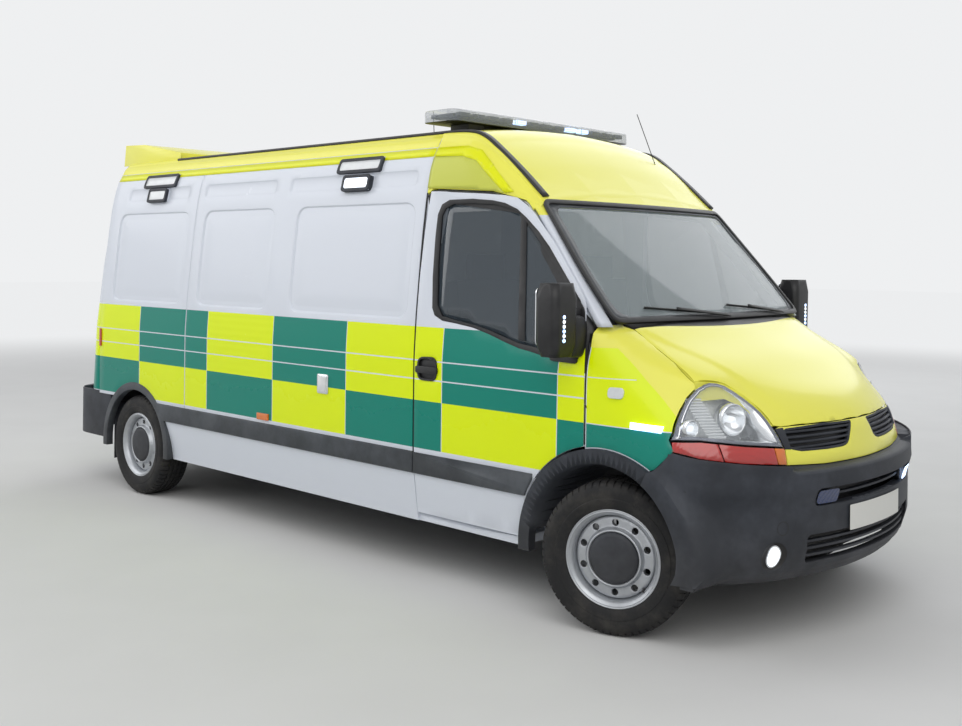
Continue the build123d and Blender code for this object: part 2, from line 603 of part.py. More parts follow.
# Floor with sills, wheel boxes and underfloor rails
floor = block(-900, 900, -1610, CORNER_Y, FLOOR_TOP - 60, FLOOR_TOP)
BOX_IN = REAR_TRACK - WHEEL_ROOM
floor_cut = block(BOX_IN, 1000, REAR_AXLE - 470, REAR_AXLE + 470, 400, 700)
floor = floor - floor_cut - flipped(floor_cut)
BOX_TOP = 800
wheel_box = block(BOX_IN - 30, 905, REAR_AXLE - 480, REAR_AXLE + 480, FLOOR_TOP - 60, BOX_TOP)
wheel_box = wheel_box - block(BOX_IN - 5, 1000, REAR_AXLE - 455, REAR_AXLE + 455, 300, BOX_TOP - 25)
rails = block(430, 530, -1908, 2780, 440, FLOOR_TOP - 60)
rails = rails - block(450, 510, REAR_AXLE - 250, REAR_AXLE + 250, 400, 470)
floor = fused(floor, wheel_box, flipped(wheel_box), rails, flipped(rails))
for y in (-1500, -400, 700, 2700):
    floor = floor + block(-530, 530, y - 40, y + 40, 450, FLOOR_TOP - 60)
cab_sill = block(700, 940, -1600, POST_Y, 300, 341)
cab_sill = cab_sill + block(700, 760, -1600, POST_Y, 300, 560)
floor = fused(floor, cab_sill, flipped(cab_sill))
TOE_BOARD = [(-1610, 540), (-1610, 600), (-1850, 900), (-1950, 1260), (-1985, 1260), (-1885, 890)]
TOE_BOARD += [(-1640, 540)]
toe_board = slab(TOE_BOARD, "x", -780, 780)
floor = fused(floor, toe_board)

# Bulkhead behind the cab seats
BULKHEAD = [(900, 600), (925, 1160), (890, 1600), (850, 2030), (800, 2190), (755, 2272), (728, 2300)]
BULKHEAD += [(400, 2340), (0, 2352)]
bulkhead = slab(both(BULKHEAD), "y", -860, -830)
bulkhead = bulkhead - block(-300, 300, -900, -800, 640, 2000)

# Seats, dashboard, steering wheel
SEAT = [(-1480, 880), (-1480, 980), (-1040, 960), (-960, 1560), (-890, 1545), (-905, 900)]
SEAT += [(-900, 760), (-1400, 760)]
seat = slab(SEAT, "x", 250, 760)
seat = fused(seat, block(330, 680, -1380, -930, FLOOR_TOP, 770), block(380, 630, -955, -900, 1540, 1700))
seats = fused(seat, flipped(seat), block(-340, 340, -1200, -1000, FLOOR_TOP, 660))
DASH = [(-1985, 1262), (-1960, 1330), (-1800, 1330), (-1640, 1240), (-1620, FAR), (-1750, 960), (-1830, 905)]
DASH += [(-1860, 905), (-1955, 1262)]
dashboard = slab(DASH, "x", -780, 780)
DRIVER_X = -420
COLUMN_LEAN = -62
STEERING_R = 190
column = Pos(DRIVER_X, -1580, 1160) * Rot(COLUMN_LEAN, 0, 0) * Cylinder(35, 260)
at_wheel = Pos(DRIVER_X, -1500, 1205) * Rot(COLUMN_LEAN, 0, 0)
grip = Pos(STEERING_R, 0, 0) * Rot(90, 0, 0) * RegularPolygon(15, 8)
wheel_rim = at_wheel * revolve(grip, Axis.Z)
spoke = at_wheel * Box(2 * STEERING_R, 40, 16)
dashboard = fused(dashboard, column, wheel_rim, spoke) - toe_board

# Engine and gearbox block, front subframe
engine = block(-330, 420, -2560, -2080, 446, 1020)
side_member = block(430, 520, -2620, -1908, 440, 540)
subframe = fused(block(-520, 520, -2330, -2270, 360, 445), side_member, flipped(side_member))
subframe = subframe + block(-520, 520, -2640, -2590, 400, 560)
subframe = subframe + block(-440, 440, -1990, -1912, 360, 445)
ARM_TOP = 232.7
ARM_END = KINGPIN_X - 60
LOWER_ARM = [(420, -2290), (ARM_END, -2130), (ARM_END, -2085), (420, -1920), (420, -1975)]
LOWER_ARM += [(620, -2108), (420, -2235)]
lower_arm = slab(LOWER_ARM, "z", 205, ARM_TOP)
lower_arm = lower_arm + block(425, 475, -2330, -2230, 205, 450) + block(425, 475, -1985, -1915, 205, 450)
subframe = fused(subframe, lower_arm, flipped(lower_arm))
radiator = block(-380, 380, -2660, -2600, 420, 880)
subframe = subframe + radiator

# Wheels drawn about the origin with the outer face toward +X
tyre_half = TYRE_W / 2
TYRE = [(RIM_R, -92), (TYRE_R - 60, -tyre_half), (TYRE_R - 28, -tyre_half + 5), (TYRE_R, -78), (TYRE_R, 78)]
TYRE += [(TYRE_R - 28, tyre_half - 5), (TYRE_R - 60, tyre_half), (RIM_R, 92), (RIM_R - 14, 80)]
TYRE += [(RIM_R - 14, -80)]


def turned(points):
    face = Face(Wire.make_polygon([(x, 0, r) for r, x in points], close=True))
    return Solid.revolve(face, 360, Axis((0, 0, 0), (1, 0, 0)))


tyre = turned(TYRE)
# Steel wheel: lip, dished disc with round vents, raised ring and cap
RIM = [(RIM_R - 14.5, -85), (RIM_R - 14.5, 80), (RIM_R - 0.5, 92.5), (RIM_R + 4, 96), (RIM_R - 6, 99)]
RIM += [(RIM_R - 24, 82), (RIM_R - 30, 40), (176, 56), (136, 56), (122, 66), (118, 78), (112, 70)]
RIM += [(104, 84), (0, 92), (0, 40), (130, 34), (178, 34), (RIM_R - 34, 18), (RIM_R - 34, -85)]
VENTS = 10
VENT_RING, VENT_R = 156, 16
rim = turned(RIM)
for i in range(VENTS):
    rim = rim - Rot(360 / VENTS * i, 0, 0) * rod(0, 0, VENT_RING, VENT_R, "x", 0, 120)
hub = turned([(0, -60), (0, 40), (70, 40), (70, 10), (45, 0), (45, -60)])

spin_steer = Pos(KINGPIN_X, FRONT_AXLE, HUB_Z) * Rot(0, 0, PARKED_STEER)
spin_steer_r = Pos(-KINGPIN_X, FRONT_AXLE, HUB_Z) * Rot(0, 0, PARKED_STEER)
lead = Pos(SCRUB, 0, 0)
lead_r = Pos(-SCRUB, 0, 0) * Rot(0, 0, 180)
# Knuckle: upright with the stub the wheel turns on, and the strut above it
spindle = rod(0, 0, 0, 38, "x", -95, -30)
strut = rod(-115, 0, 0, 24, "z", 80, 440)
upright = fused(block(-95, -55, -45, 45, -112, 130), spindle, strut, block(-125, -60, -24, 24, 80, 125))
tie_arm = block(-95, -60, -30, 150, -60, -30)
knuckle = fused(upright, tie_arm)
knuckle_left = spin_steer * knuckle
knuckle_right = spin_steer_r * (Rot(0, 0, 180) * knuckle.mirror(Plane.XZ))
tyre_front_left = spin_steer * lead * tyre
rim_front_left = spin_steer * lead * (rim + hub)
tyre_front_right = spin_steer_r * lead_r * tyre
rim_front_right = spin_steer_r * lead_r * (rim + hub)
tyre_rear_left = Pos(REAR_TRACK, REAR_AXLE, HUB_Z) * tyre
rim_rear_left = Pos(REAR_TRACK, REAR_AXLE, HUB_Z) * (rim + hub)
tyre_rear_right = Pos(-REAR_TRACK, REAR_AXLE, HUB_Z) * Rot(0, 0, 180) * tyre
rim_rear_right = Pos(-REAR_TRACK, REAR_AXLE, HUB_Z) * Rot(0, 0, 180) * (rim + hub)
# Rear axle beam with leaf springs
AXLE_END = REAR_TRACK - HUB_SEAT
PLATE_X = AXLE_END - 125
stub = rod(0, REAR_AXLE, HUB_Z, 40, "x", PLATE_X + 20, AXLE_END)
stub = stub + block(PLATE_X, PLATE_X + 30, REAR_AXLE - 50, REAR_AXLE + 50, 250, 390)
rear_axle = rod(0, REAR_AXLE, 290, 36, "x", -PLATE_X - 30, PLATE_X + 30)
rear_axle = fused(rear_axle, stub, flipped(stub))
SPRING_HALF = 620
front_eye, rear_eye = REAR_AXLE - SPRING_HALF, REAR_AXLE + SPRING_HALF
leaf = [(front_eye, 425), (REAR_AXLE, 318, rear_eye, 425), (rear_eye, 437), (REAR_AXLE, 330, front_eye, 437)]
spring = slab(leaf, "x", 450, 510)
rear_axle = fused(rear_axle, spring, flipped(spring))

# Light bar on the cab roof, rear roof fairing
BAR_HALF = 795
BAR = (-960, -700)
BAR_LEVELS = (2412, 2436, 2478)
LENS_PITCH, LENS_GAP = 300, 6
bar_base = block(-BAR_HALF, BAR_HALF, *BAR, BAR_LEVELS[0], BAR_LEVELS[1])
bar_lens = block(-BAR_HALF, BAR_HALF, *BAR, BAR_LEVELS[1], BAR_LEVELS[2])
bar_lens = fillet(bar_lens.edges().filter_by(Axis.Z), 60)
bar_lens = fillet(bar_lens.faces().sort_by(Axis.Z)[-1].edges(), 14)
bar_core = block(-BAR_HALF, BAR_HALF, BAR[0] + 8, BAR[1] - 8, 2400, BAR_LEVELS[2] - 8)
for i in range(-2, 3):
    split = block(-LENS_GAP / 2, LENS_GAP / 2, *BAR, BAR_LEVELS[1], BAR_LEVELS[2] + 1)
    bar_lens = bar_lens - (Pos(i * LENS_PITCH, 0, 0) * split - bar_core)
light_bar = fused(bar_lens, fillet(bar_base.edges().filter_by(Axis.Z), 60))
for x in (-560, 560):
    light_bar = light_bar + block(x - 60, x + 60, -900, -760, 2372, 2420)
light_bar = light_bar - cab_roof - roof
fairing_steps = [(1790, 2300), (1790, 2402), (2290, 2490), (2560, 2500), (2590, 2290)]
rear_fairing = slab(fairing_steps, "x", -760, 760) - slab(full_out, "y", 1700, 2860)
rear_fairing = largest(rear_fairing - roof)

PIECES = {
    "floor": floor,
    "side_panel_right": side_right,
    "side_panel_left": side_left,
    "sliding_door": sliding_door,
    "roof": roof,
    "rear_frame": rear_frame,
    "cab_roof": cab_roof,
    "pillar_left": pillar_left,
    "pillar_right": flipped(pillar_left),
    "bulkhead": bulkhead,
    "wing_left": wing_left,
    "wing_right": flipped(wing_left),
    "bonnet": bonnet,
    "front_panel": front_panel,
    "front_bumper": front_bumper,
    "headlamp_left": headlamp_left,
    "headlamp_right": flipped(headlamp_left),
    "windscreen": windscreen,
    "scuttle": scuttle,
    "cab_door_left": cab_door_left,
    "cab_door_right": flipped(cab_door_left),
    "door_glass_left": door_glass_left,
    "door_glass_right": flipped(door_glass_left),
    "rear_door_left": rear_door_left,
    "rear_door_right": flipped(rear_door_left),
    "rear_bumper": rear_bumper,
    "moulding_left": moulding_left,
    "moulding_right": moulding_right,
    "light_bar": light_bar,
    "rear_fairing": rear_fairing,
    "seats": seats,
    "dashboard": dashboard,
    "engine": engine,
    "subframe": subframe,
    "knuckle_left": knuckle_left,
    "knuckle_right": knuckle_right,
    "rear_axle": rear_axle,
    "tyre_front_left": tyre_front_left,
    "tyre_front_right": tyre_front_right,
    "tyre_rear_left": tyre_rear_left,
    "tyre_rear_right": tyre_rear_right,
    "rim_front_left": rim_front_left,
    "rim_front_right": rim_front_right,
    "rim_rear_left": rim_rear_left,
    "rim_rear_right": rim_rear_right,
}
for name, shape in PIECES.items():
    export_step(shape, f"parts/{name}.step")
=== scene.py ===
import json
import math

import bmesh
import bpy
import numpy as np
from mathutils import Matrix, Vector
from mathutils.bvhtree import BVHTree
from mathutils.geometry import delaunay_2d_cdt


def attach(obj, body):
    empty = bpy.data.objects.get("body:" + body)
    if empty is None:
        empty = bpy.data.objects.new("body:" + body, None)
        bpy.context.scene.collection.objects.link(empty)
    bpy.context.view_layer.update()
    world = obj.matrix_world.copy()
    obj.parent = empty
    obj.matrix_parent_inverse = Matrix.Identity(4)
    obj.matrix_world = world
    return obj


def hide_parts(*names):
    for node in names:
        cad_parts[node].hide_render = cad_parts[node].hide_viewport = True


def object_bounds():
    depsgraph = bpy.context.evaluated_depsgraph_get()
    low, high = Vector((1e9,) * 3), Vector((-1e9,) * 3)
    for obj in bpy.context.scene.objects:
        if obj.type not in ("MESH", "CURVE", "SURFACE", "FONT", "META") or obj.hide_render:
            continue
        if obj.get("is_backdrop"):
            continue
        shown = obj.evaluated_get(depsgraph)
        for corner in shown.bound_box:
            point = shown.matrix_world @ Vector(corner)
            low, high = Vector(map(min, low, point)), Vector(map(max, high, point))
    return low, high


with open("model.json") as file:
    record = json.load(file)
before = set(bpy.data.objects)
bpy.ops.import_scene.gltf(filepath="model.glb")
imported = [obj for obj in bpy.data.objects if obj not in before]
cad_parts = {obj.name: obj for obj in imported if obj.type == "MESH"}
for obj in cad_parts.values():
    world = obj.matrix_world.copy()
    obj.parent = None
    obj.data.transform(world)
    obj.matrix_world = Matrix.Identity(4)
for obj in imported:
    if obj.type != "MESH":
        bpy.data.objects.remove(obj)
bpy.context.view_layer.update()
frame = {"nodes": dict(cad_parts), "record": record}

# Metres; nose toward -Y, the driver's side at -X. Photograph frame and the lens that took it
PHOTO_WIDE, PHOTO_HIGH = 962, 726
EYE = (-4.909, -5.0624, 1.6745)
YAW, PITCH, ROLL = 0.8128, -0.0004, 0.0102
FOCAL_PX, HORIZON_PX, SENSOR = 1095.0, 259.4, 36.0

# Landmarks shared by many pieces
POST_Y = -0.880
FRONT_AXLE, REAR_AXLE, HUB_Z = -2.1075, 1.9705, 0.345
FRONT_HUB = (FRONT_AXLE, HUB_Z)
SKIN_LIFT = 0.004
CORNERS = ("front_left", "front_right", "rear_left", "rear_right")


# Shader arithmetic: a value that builds its own Math nodes
def math_node(operation):
    """A method that adds one Math node."""
    return lambda self, *others: self.tree.node("ShaderNodeMath", {"operation": operation}, (self, *others))


class Sig:
    """A shader number. Python arithmetic on it adds Math nodes to its tree."""

    def __init__(self, tree, socket):
        self.tree, self.socket = tree, socket

    __add__ = __radd__ = math_node("ADD")
    __mul__ = __rmul__ = math_node("MULTIPLY")
    __sub__ = math_node("SUBTRACT")
    __gt__ = math_node("GREATER_THAN")
    __lt__ = math_node("LESS_THAN")
    larger = math_node("MAXIMUM")
    size = math_node("ABSOLUTE")
    sine = math_node("SINE")

    def __rsub__(self, other):
        return self * -1 + other

    def wave(self, period):
        """Sine with the given period."""
        return (self * (2 * math.pi / period)).sine()

    def between(self, low, high):
        """1 inside the range, 0 outside it."""
        return (self > low) * (self < high)

    def ramp(self, low, high):
        """0 at low to 1 at high, eased."""
        names = {"Value": self, "From Min": low, "From Max": high}
        return self.tree.node("ShaderNodeMapRange", {"interpolation_type": "SMOOTHSTEP"}, names)


class Tree:
    """The node tree of a material or of the world, with one way to add any node."""

    def __init__(self, owner):
        owner.use_nodes = True
        self.owner, self.nodes, self.links = owner, owner.node_tree.nodes, owner.node_tree.links

    def feed(self, socket, value):
        if isinstance(value, Sig):
            self.links.new(value.socket, socket)
        elif hasattr(value, "__len__") and len(value) == 3 and len(socket.default_value) == 4:
            socket.default_value = (*value, 1.0)
        else:
            socket.default_value = value

    def node(self, kind, settings=None, inputs=(), output=0):
        """Adds a node: its settings first, then its sockets by place or by name."""
        made = self.nodes.new(kind)
        for key, value in (settings or {}).items():
            if key == "stops":
                for element, (at, colour) in zip(made.color_ramp.elements, value):
                    element.position, element.color = at, (*colour, 1.0)
            else:
                setattr(made, key, value)
        for key, value in inputs.items() if isinstance(inputs, dict) else enumerate(inputs):
            self.feed(made.inputs[key], value)
        return Sig(self, made.outputs[output])

    def set(self, **values):
        """Sets or links sockets of the main shader."""
        for key, value in values.items():
            self.feed(self.nodes["Principled BSDF"].inputs[key.replace("_", " ")], value)

    def place(self, kind="Object"):
        """Coordinates as a vector and its three numbers."""
        at = self.node("ShaderNodeTexCoord", output=kind)
        parts = self.nodes.new("ShaderNodeSeparateXYZ")
        self.links.new(at.socket, parts.inputs[0])
        return at, *(Sig(self, parts.outputs[i]) for i in range(3))

    def noise(self, at, scale, detail=3.0, roughness=0.5):
        """Noise from 0 to 1."""
        names = {"Vector": at, "Scale": scale, "Detail": detail, "Roughness": roughness}
        return self.node("ShaderNodeTexNoise", inputs=names)

    def mix(self, amount, first, second):
        """Colour between two by an amount from 0 to 1."""
        return self.node("ShaderNodeMix", {"data_type": "RGBA"}, {"Factor": amount, 6: first, 7: second}, 2)

    def bump(self, height, distance, strength):
        names = {"Height": height, "Distance": distance, "Strength": strength}
        self.set(Normal=self.node("ShaderNodeBump", inputs=names))


# Colours, as the real finishes are
WHITE = (0.74, 0.78, 0.86)
LIVERY_YELLOW = (0.82, 0.98, 0.0)
LIVERY_GREEN = (0.0, 0.24, 0.18)
ROOF_YELLOW = (0.93, 0.90, 0.12)
DARK_PLASTIC = (0.016, 0.019, 0.026)
ROAD_FILM, DUST = (0.20, 0.18, 0.15), (0.16, 0.145, 0.125)
RED, AMBER = (0.55, 0.02, 0.015), (0.85, 0.20, 0.01)
LENS_WHITE = (0.75, 0.78, 0.80)

# Livery checks on the side: column edges in y from the rear, row heights, thin white lines
COLUMNS = (3.000, 1.915, 1.066, 0.356, -0.330, -1.090, -1.843, -2.700)
ROW_TOP, ROW_MID, ROW_LOW = 1.320, 0.938, 0.690
SWAGES = (1.146, 1.048)
SEAM = 0.0045
PANEL_JOINT = 1.328
# Wing: shoulder height and half width, end of the upper line, radius round the hub and the door's gap
SHOULDER_Z, SHOULDER_X, SWAGE_END, ARCH_EDGE, WING_BACK = 1.278, 0.900, -2.24, 0.4915, -2.0125
PILLAR_TOP = 1.892
AMBER_BAND = (0.935, 1.035)


def times(colour, factor):
    return tuple(part * factor for part in colour)


def lacquer(tree, at, z, colour, rough=0.22, coat=0.12, coat_rough=0.06, specular=0.3):
    """Paint under lacquer, dulled by road film = (patches / 2 + fine / 5) x (0.9 low + 0.1), where low
    fades out between knee and waist. Gives back its orange peel."""
    patches, fine = tree.noise(at, 2.2, 4.0, 0.6), tree.noise(at, 24.0)
    low = 1 - z.ramp(0.25, 0.95)
    film = (patches * 0.5 + fine * 0.2) * (low * 0.9 + 0.1)
    tree.set(Base_Color=tree.mix(film * 0.1, colour, ROAD_FILM), Roughness=film * 0.5 + rough)
    tree.set(Coat_Weight=coat, Coat_Roughness=coat_rough, Specular_IOR_Level=specular)
    return tree.noise(at, 240.0, 2.0)


def gloss_paint(tree, at, x, y, z, colour, rough=0.22):
    """Car paint of one colour."""
    tree.bump(lacquer(tree, at, z, colour, rough), 0.00025, 0.35)


def livery_vinyl(tree, at, x, y, z):
    """White body with two rows of green and yellow checks between the column edges, parted by thin white
    seams and lines; one green check is ribbed by a sine of height."""
    top_row, in_rows = z.between(ROW_MID, ROW_TOP), z.between(ROW_LOW, ROW_TOP)
    green, seam = 0, (y - PANEL_JOINT).size() < SEAM
    for index, (rear, front) in enumerate(zip(COLUMNS, COLUMNS[1:])):
        green = y.between(front, rear) * (top_row if index % 2 else in_rows - top_row) + green
        seam = seam.larger((y - rear).size() < SEAM / 2)
    for level in SWAGES:
        seam = seam.larger((z - level).size() < SEAM * 0.75)
    colour = tree.mix(in_rows * (1 - seam), WHITE, tree.mix(green, LIVERY_YELLOW, LIVERY_GREEN))
    ribs = y.between(COLUMNS[3], COLUMNS[2]) * top_row * z.wave(0.042)
    peel = lacquer(tree, at, z, colour, 0.25, 0.1, 0.08, 0.25)
    tree.bump(peel * 0.15 + ribs * 0.6, 0.0012, 0.35)


def wing_paint(tree, at, x, y, z):
    """Yellow like the bonnet above the shoulder; below it the livery's yellow over green with its white
    lines, and white round the wheel arch and beside the door."""
    above = (z > SHOULDER_Z).larger(x.size() < SHOULDER_X)
    checks = tree.mix(z < ROW_MID, LIVERY_YELLOW, LIVERY_GREEN)
    swage = ((z - SWAGES[0]).size() < 0.002) * (y > SWAGE_END)
    lines = ((z - ROW_MID).size() < SEAM / 2).larger(swage)
    hub = (y - FRONT_AXLE) * (y - FRONT_AXLE) + (z - HUB_Z) * (z - HUB_Z)
    bare = (hub < ARCH_EDGE * ARCH_EDGE).larger(y > WING_BACK)
    checks = tree.mix(bare.larger(lines), checks, WHITE)
    gloss_paint(tree, at, x, y, z, tree.mix(above, checks, ROOF_YELLOW), 0.25)


def pillar_paint(tree, at, x, y, z):
    """White, with the roof's yellow on its top end."""
    gloss_paint(tree, at, x, y, z, tree.mix(z > PILLAR_TOP, WHITE, ROOF_YELLOW))


def moulded_plastic(tree, at, x, y, z, colour, rough=0.55, grain=900.0):
    """Grained plastic, paler in patches where it has weathered and dusty low down."""
    pits, patches = tree.noise(at, grain, 2.0), tree.noise(at, 3.5, 4.0, 0.65)
    faded = tuple(min(1.0, part * 1.9 + 0.012) for part in colour)
    shade = tree.mix(patches.ramp(0.35, 0.75), colour, faded)
    dust = (1 - z.ramp(0.2, 0.7)) * patches * 0.25
    tree.set(Base_Color=tree.mix(dust, shade, DUST), Roughness=pits * 0.15 + rough, Specular_IOR_Level=0.4)
    tree.bump(pits, 0.0006, 0.5)


def tinted_glass(tree, at, x, y, z, tint, alpha):
    """Glass whose haze and cover follow a faint smear."""
    smear = tree.noise(at, 7.0) * 0.04
    tree.set(Base_Color=tint, Roughness=smear + 0.03, Alpha=smear + alpha)
    tree.set(Specular_IOR_Level=0.8, Coat_Weight=0.4, Coat_Roughness=0.02)


def bare_metal(tree, at, x, y, z, colour, rough=0.35, metallic=1.0):
    """Metal, duller and darker in clouds."""
    cloud = tree.noise(at, 18.0, 5.0, 0.6)
    shade = tree.mix(cloud, colour, times(colour, 0.72))
    tree.set(Base_Color=shade, Metallic=metallic, Roughness=cloud * 0.22 + rough)
    tree.bump(tree.noise(at, 420.0, 2.0), 0.0003, 0.3)


def tyre_rubber(tree, at, x, y, z):
    """Black rubber, greyer with dust in clouds."""
    cloud, fine = tree.noise(at, 9.0, 5.0, 0.65), tree.noise(at, 160.0)
    shade = tree.mix(cloud.ramp(0.4, 0.8), (0.012, 0.012, 0.013), (0.045, 0.042, 0.038))
    tree.set(Base_Color=shade, Roughness=fine * 0.2 + 0.62, Specular_IOR_Level=0.35)
    tree.bump(fine, 0.0008, 0.4)


def woven_cloth(tree, at, x, y, z, colour):
    """Seat cloth: two crossed waves of threads."""
    threads = (x + z).wave(0.0042) * (y - z).wave(0.0042)
    cloud = tree.noise(at, 30.0, 4.0)
    tree.set(Base_Color=tree.mix(cloud, colour, times(colour, 1.7)), Roughness=cloud * 0.1 + 0.85)
    tree.set(Sheen_Weight=0.3)
    tree.bump(threads, 0.0006, 0.6)


def lit_lens(tree, at, x, y, z, colour, strength):
    """A lamp that is lit, whitest over its bulbs: the size of two crossed waves."""
    dots = ((x + y).wave(0.022) * z.wave(0.022)).size()
    tree.set(Base_Color=colour, Roughness=0.2, Emission_Strength=strength)
    tree.set(Emission_Color=tree.mix(dots, colour, (1.0, 1.0, 1.0)))


def lens_plastic(tree, at, x, y, z, colour, rough=0.12):
    """Coloured lens with fine ribs, a wave along 0.7 x + y."""
    cloud = tree.noise(at, 12.0, 2.0)
    shade = tree.mix(cloud * 0.4, colour, times(colour, 0.5))
    tree.set(Base_Color=shade, Roughness=cloud * 0.06 + rough, Coat_Weight=0.8, Coat_Roughness=0.03)
    tree.bump((x * 0.7 + y).wave(0.012), 0.0008, 0.4)


def tail_lens(tree, at, x, y, z):
    """Red lens with an amber band between two dark lines, by height."""
    low, high = AMBER_BAND
    line = ((z - low).size() < 0.002).larger((z - high).size() < 0.002)
    shade = tree.mix(line, tree.mix(z.between(low, high), RED, AMBER), (0.02, 0.02, 0.02))
    tree.set(Base_Color=shade, Roughness=0.12, Coat_Weight=0.8, Coat_Roughness=0.03)
    tree.bump(x.wave(0.012), 0.0008, 0.4)


def finished(maker, name, *values):
    """A material: its name, and what its maker is told."""
    tree = Tree(bpy.data.materials.new(name))
    maker(tree, *tree.place(), *values)
    return tree.owner


PAINT = {
    "tail": (tail_lens, "tail_lens"),
    "livery": (livery_vinyl, "livery_vinyl"),
    "white": (gloss_paint, "white_paint", WHITE),
    "yellow": (gloss_paint, "roof_yellow_paint", ROOF_YELLOW),
    "stripe": (gloss_paint, "stripe_vinyl", (0.86, 0.90, 0.0), 0.3),
    "bumper": (moulded_plastic, "bumper_grain", DARK_PLASTIC, 0.5),
    "moulding": (moulded_plastic, "moulding_grain", (0.035, 0.040, 0.047), 0.42),
    "black": (moulded_plastic, "black_trim", (0.008, 0.008, 0.009), 0.35),
    "glass": (tinted_glass, "window_glass", (0.04, 0.06, 0.08), 0.62),
    "screen": (tinted_glass, "screen_glass", (0.36, 0.43, 0.45), 0.42),
    "clear": (tinted_glass, "clear_lens", (0.80, 0.85, 0.90), 0.10),
    "barlens": (tinted_glass, "light_bar_lens", (0.42, 0.46, 0.50), 0.38),
    "tyre": (tyre_rubber, "tyre_rubber"),
    "wheel": (bare_metal, "wheel_silver", (0.52, 0.54, 0.57), 0.32, 0.75),
    "seat": (woven_cloth, "seat_weave", (0.03, 0.032, 0.038)),
    "dash": (moulded_plastic, "dash_grain", (0.016, 0.017, 0.019), 0.6, 700.0),
    "lining": (moulded_plastic, "white_lining", (0.66, 0.68, 0.69), 0.4, 300.0),
    "engine": (bare_metal, "cast_alloy", (0.32, 0.32, 0.33), 0.5),
    "floor": (moulded_plastic, "floor_vinyl", (0.06, 0.062, 0.066), 0.6, 500.0),
    "wing": (wing_paint, "wing_paint"),
    "bezel": (moulded_plastic, "lamp_bezel", (0.05, 0.055, 0.065), 0.3),
    "lamprim": (moulded_plastic, "lamp_rim", (0.13, 0.14, 0.18), 0.25),
    "chrome": (bare_metal, "lamp_chrome", (0.86, 0.88, 0.90), 0.10),
    "lampglass": (lens_plastic, "lamp_ribs", LENS_WHITE, 0.1),
    "bulb": (lit_lens, "bulb_glass", (0.9, 0.95, 1.0), 0.6),
    "red": (lens_plastic, "red_lens", RED),
    "amber": (lens_plastic, "amber_lens", AMBER),
    "blue": (lens_plastic, "blue_lens", (0.004, 0.022, 0.11)),
    "lit_blue": (lit_lens, "lit_blue_lamp", (0.22, 0.48, 1.0), 2.4),
    "lit_white": (lit_lens, "lit_white_lamp", (0.80, 0.88, 1.0), 1.3),
    "band": (moulded_plastic, "printed_band", (0.055, 0.060, 0.066), 0.25),
    "pillar": (pillar_paint, "pillar_paint"),
    # A darker copy of the roof yellow: painted shade for the side of the cab roof inside the stripe's curve
    "olive": (gloss_paint, "tinted_patch", (0.62, 0.66, 0.10), 0.3),
    "plate": (gloss_paint, "blank_plate", (0.78, 0.78, 0.74), 0.35),
    "chassis": (moulded_plastic, "chassis_wax", (0.012, 0.012, 0.013), 0.5, 120.0),
}
PAINT = {key: finished(*row) for key, row in PAINT.items()}
SLOT_PAINT = dict(white_paint="white", yellow_paint="yellow", bumper_plastic="bumper", glass="glass")
SLOT_PAINT.update(lamp_clear="clear", light_bar_lens="clear", tyre="tyre", wheel_steel="wheel")
SLOT_PAINT.update(seat_fabric="seat", dash_plastic="dash", lining="lining", engine_alloy="engine")
SLOT_PAINT.update(floor_paint="floor", chassis_black="chassis")


def paint(piece, material):
    piece.data.materials.clear()
    piece.data.materials.append(PAINT[material] if isinstance(material, str) else material)


for part in frame["record"]["subparts"]:
    paint(frame["nodes"][part["node"]], SLOT_PAINT[part["material_slot"]])
for name in ("cab_door_left", "cab_door_right"):
    paint(frame["nodes"][name], "livery")


# Mesh builders
def mm(*numbers):
    """Pairs of millimetres as points in metres."""
    return [(a / 1000, b / 1000) for a, b in zip(numbers[::2], numbers[1::2])]


def placed(name, data):
    """A new object in the scene."""
    thing = bpy.data.objects.new(name, data)
    bpy.context.scene.collection.objects.link(thing)
    return thing


def settle(piece, rider="body", *nodes):
    """The piece rides a body and stands for CAD nodes."""
    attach(piece, rider)
    for node in nodes:
        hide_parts(node)
    return piece


def edited(mesh, change):
    """Runs a change on a mesh's editable form."""
    editable = bmesh.new()
    editable.from_mesh(mesh)
    change(editable)
    editable.to_mesh(mesh)
    editable.free()


def mend_normals(piece):
    """Turns every face outward."""
    edited(piece.data, lambda mesh: bmesh.ops.recalc_face_normals(mesh, faces=mesh.faces))
    return piece


def cubic(rows, at):
    """Natural cubic spline through rows at whole parameters, read at any parameters."""
    rows = np.asarray(rows, float)
    n = len(rows)
    flat = rows.reshape(n, -1)
    bend = np.zeros_like(flat)
    band = np.eye(n - 2) * 4 + np.eye(n - 2, k=1) + np.eye(n - 2, k=-1)
    bend[1:-1] = np.linalg.solve(band, 6 * (flat[2:] - 2 * flat[1:-1] + flat[:-2]))
    at = np.clip(np.asarray(at, float), 0, n - 1)
    i = np.minimum(at.astype(int), n - 2)
    t = (at - i)[:, None]
    s = 1 - t
    out = s * flat[i] + t * flat[i + 1] + ((s**3 - s) * bend[i] + (t**3 - t) * bend[i + 1]) / 6
    return out.reshape((len(at),) + rows.shape[1:])


def sheet_grid(rows, tall, wide):
    """Bicubic surface through a table of rows of points."""
    table = cubic(rows, np.linspace(0, len(rows) - 1, tall))
    table = cubic(table.transpose(1, 0, 2), np.linspace(0, table.shape[1] - 1, wide))
    return table.transpose(1, 0, 2)


def link(name, verts, faces, material):
    """A smooth-shaded piece from its points and faces."""
    mesh = bpy.data.meshes.new(name)
    mesh.from_pydata(np.asarray(verts, float).tolist(), [], [tuple(map(int, f)) for f in faces])
    mesh.update()
    mesh.shade_smooth()
    piece = placed(name, mesh)
    paint(piece, material)
    return piece


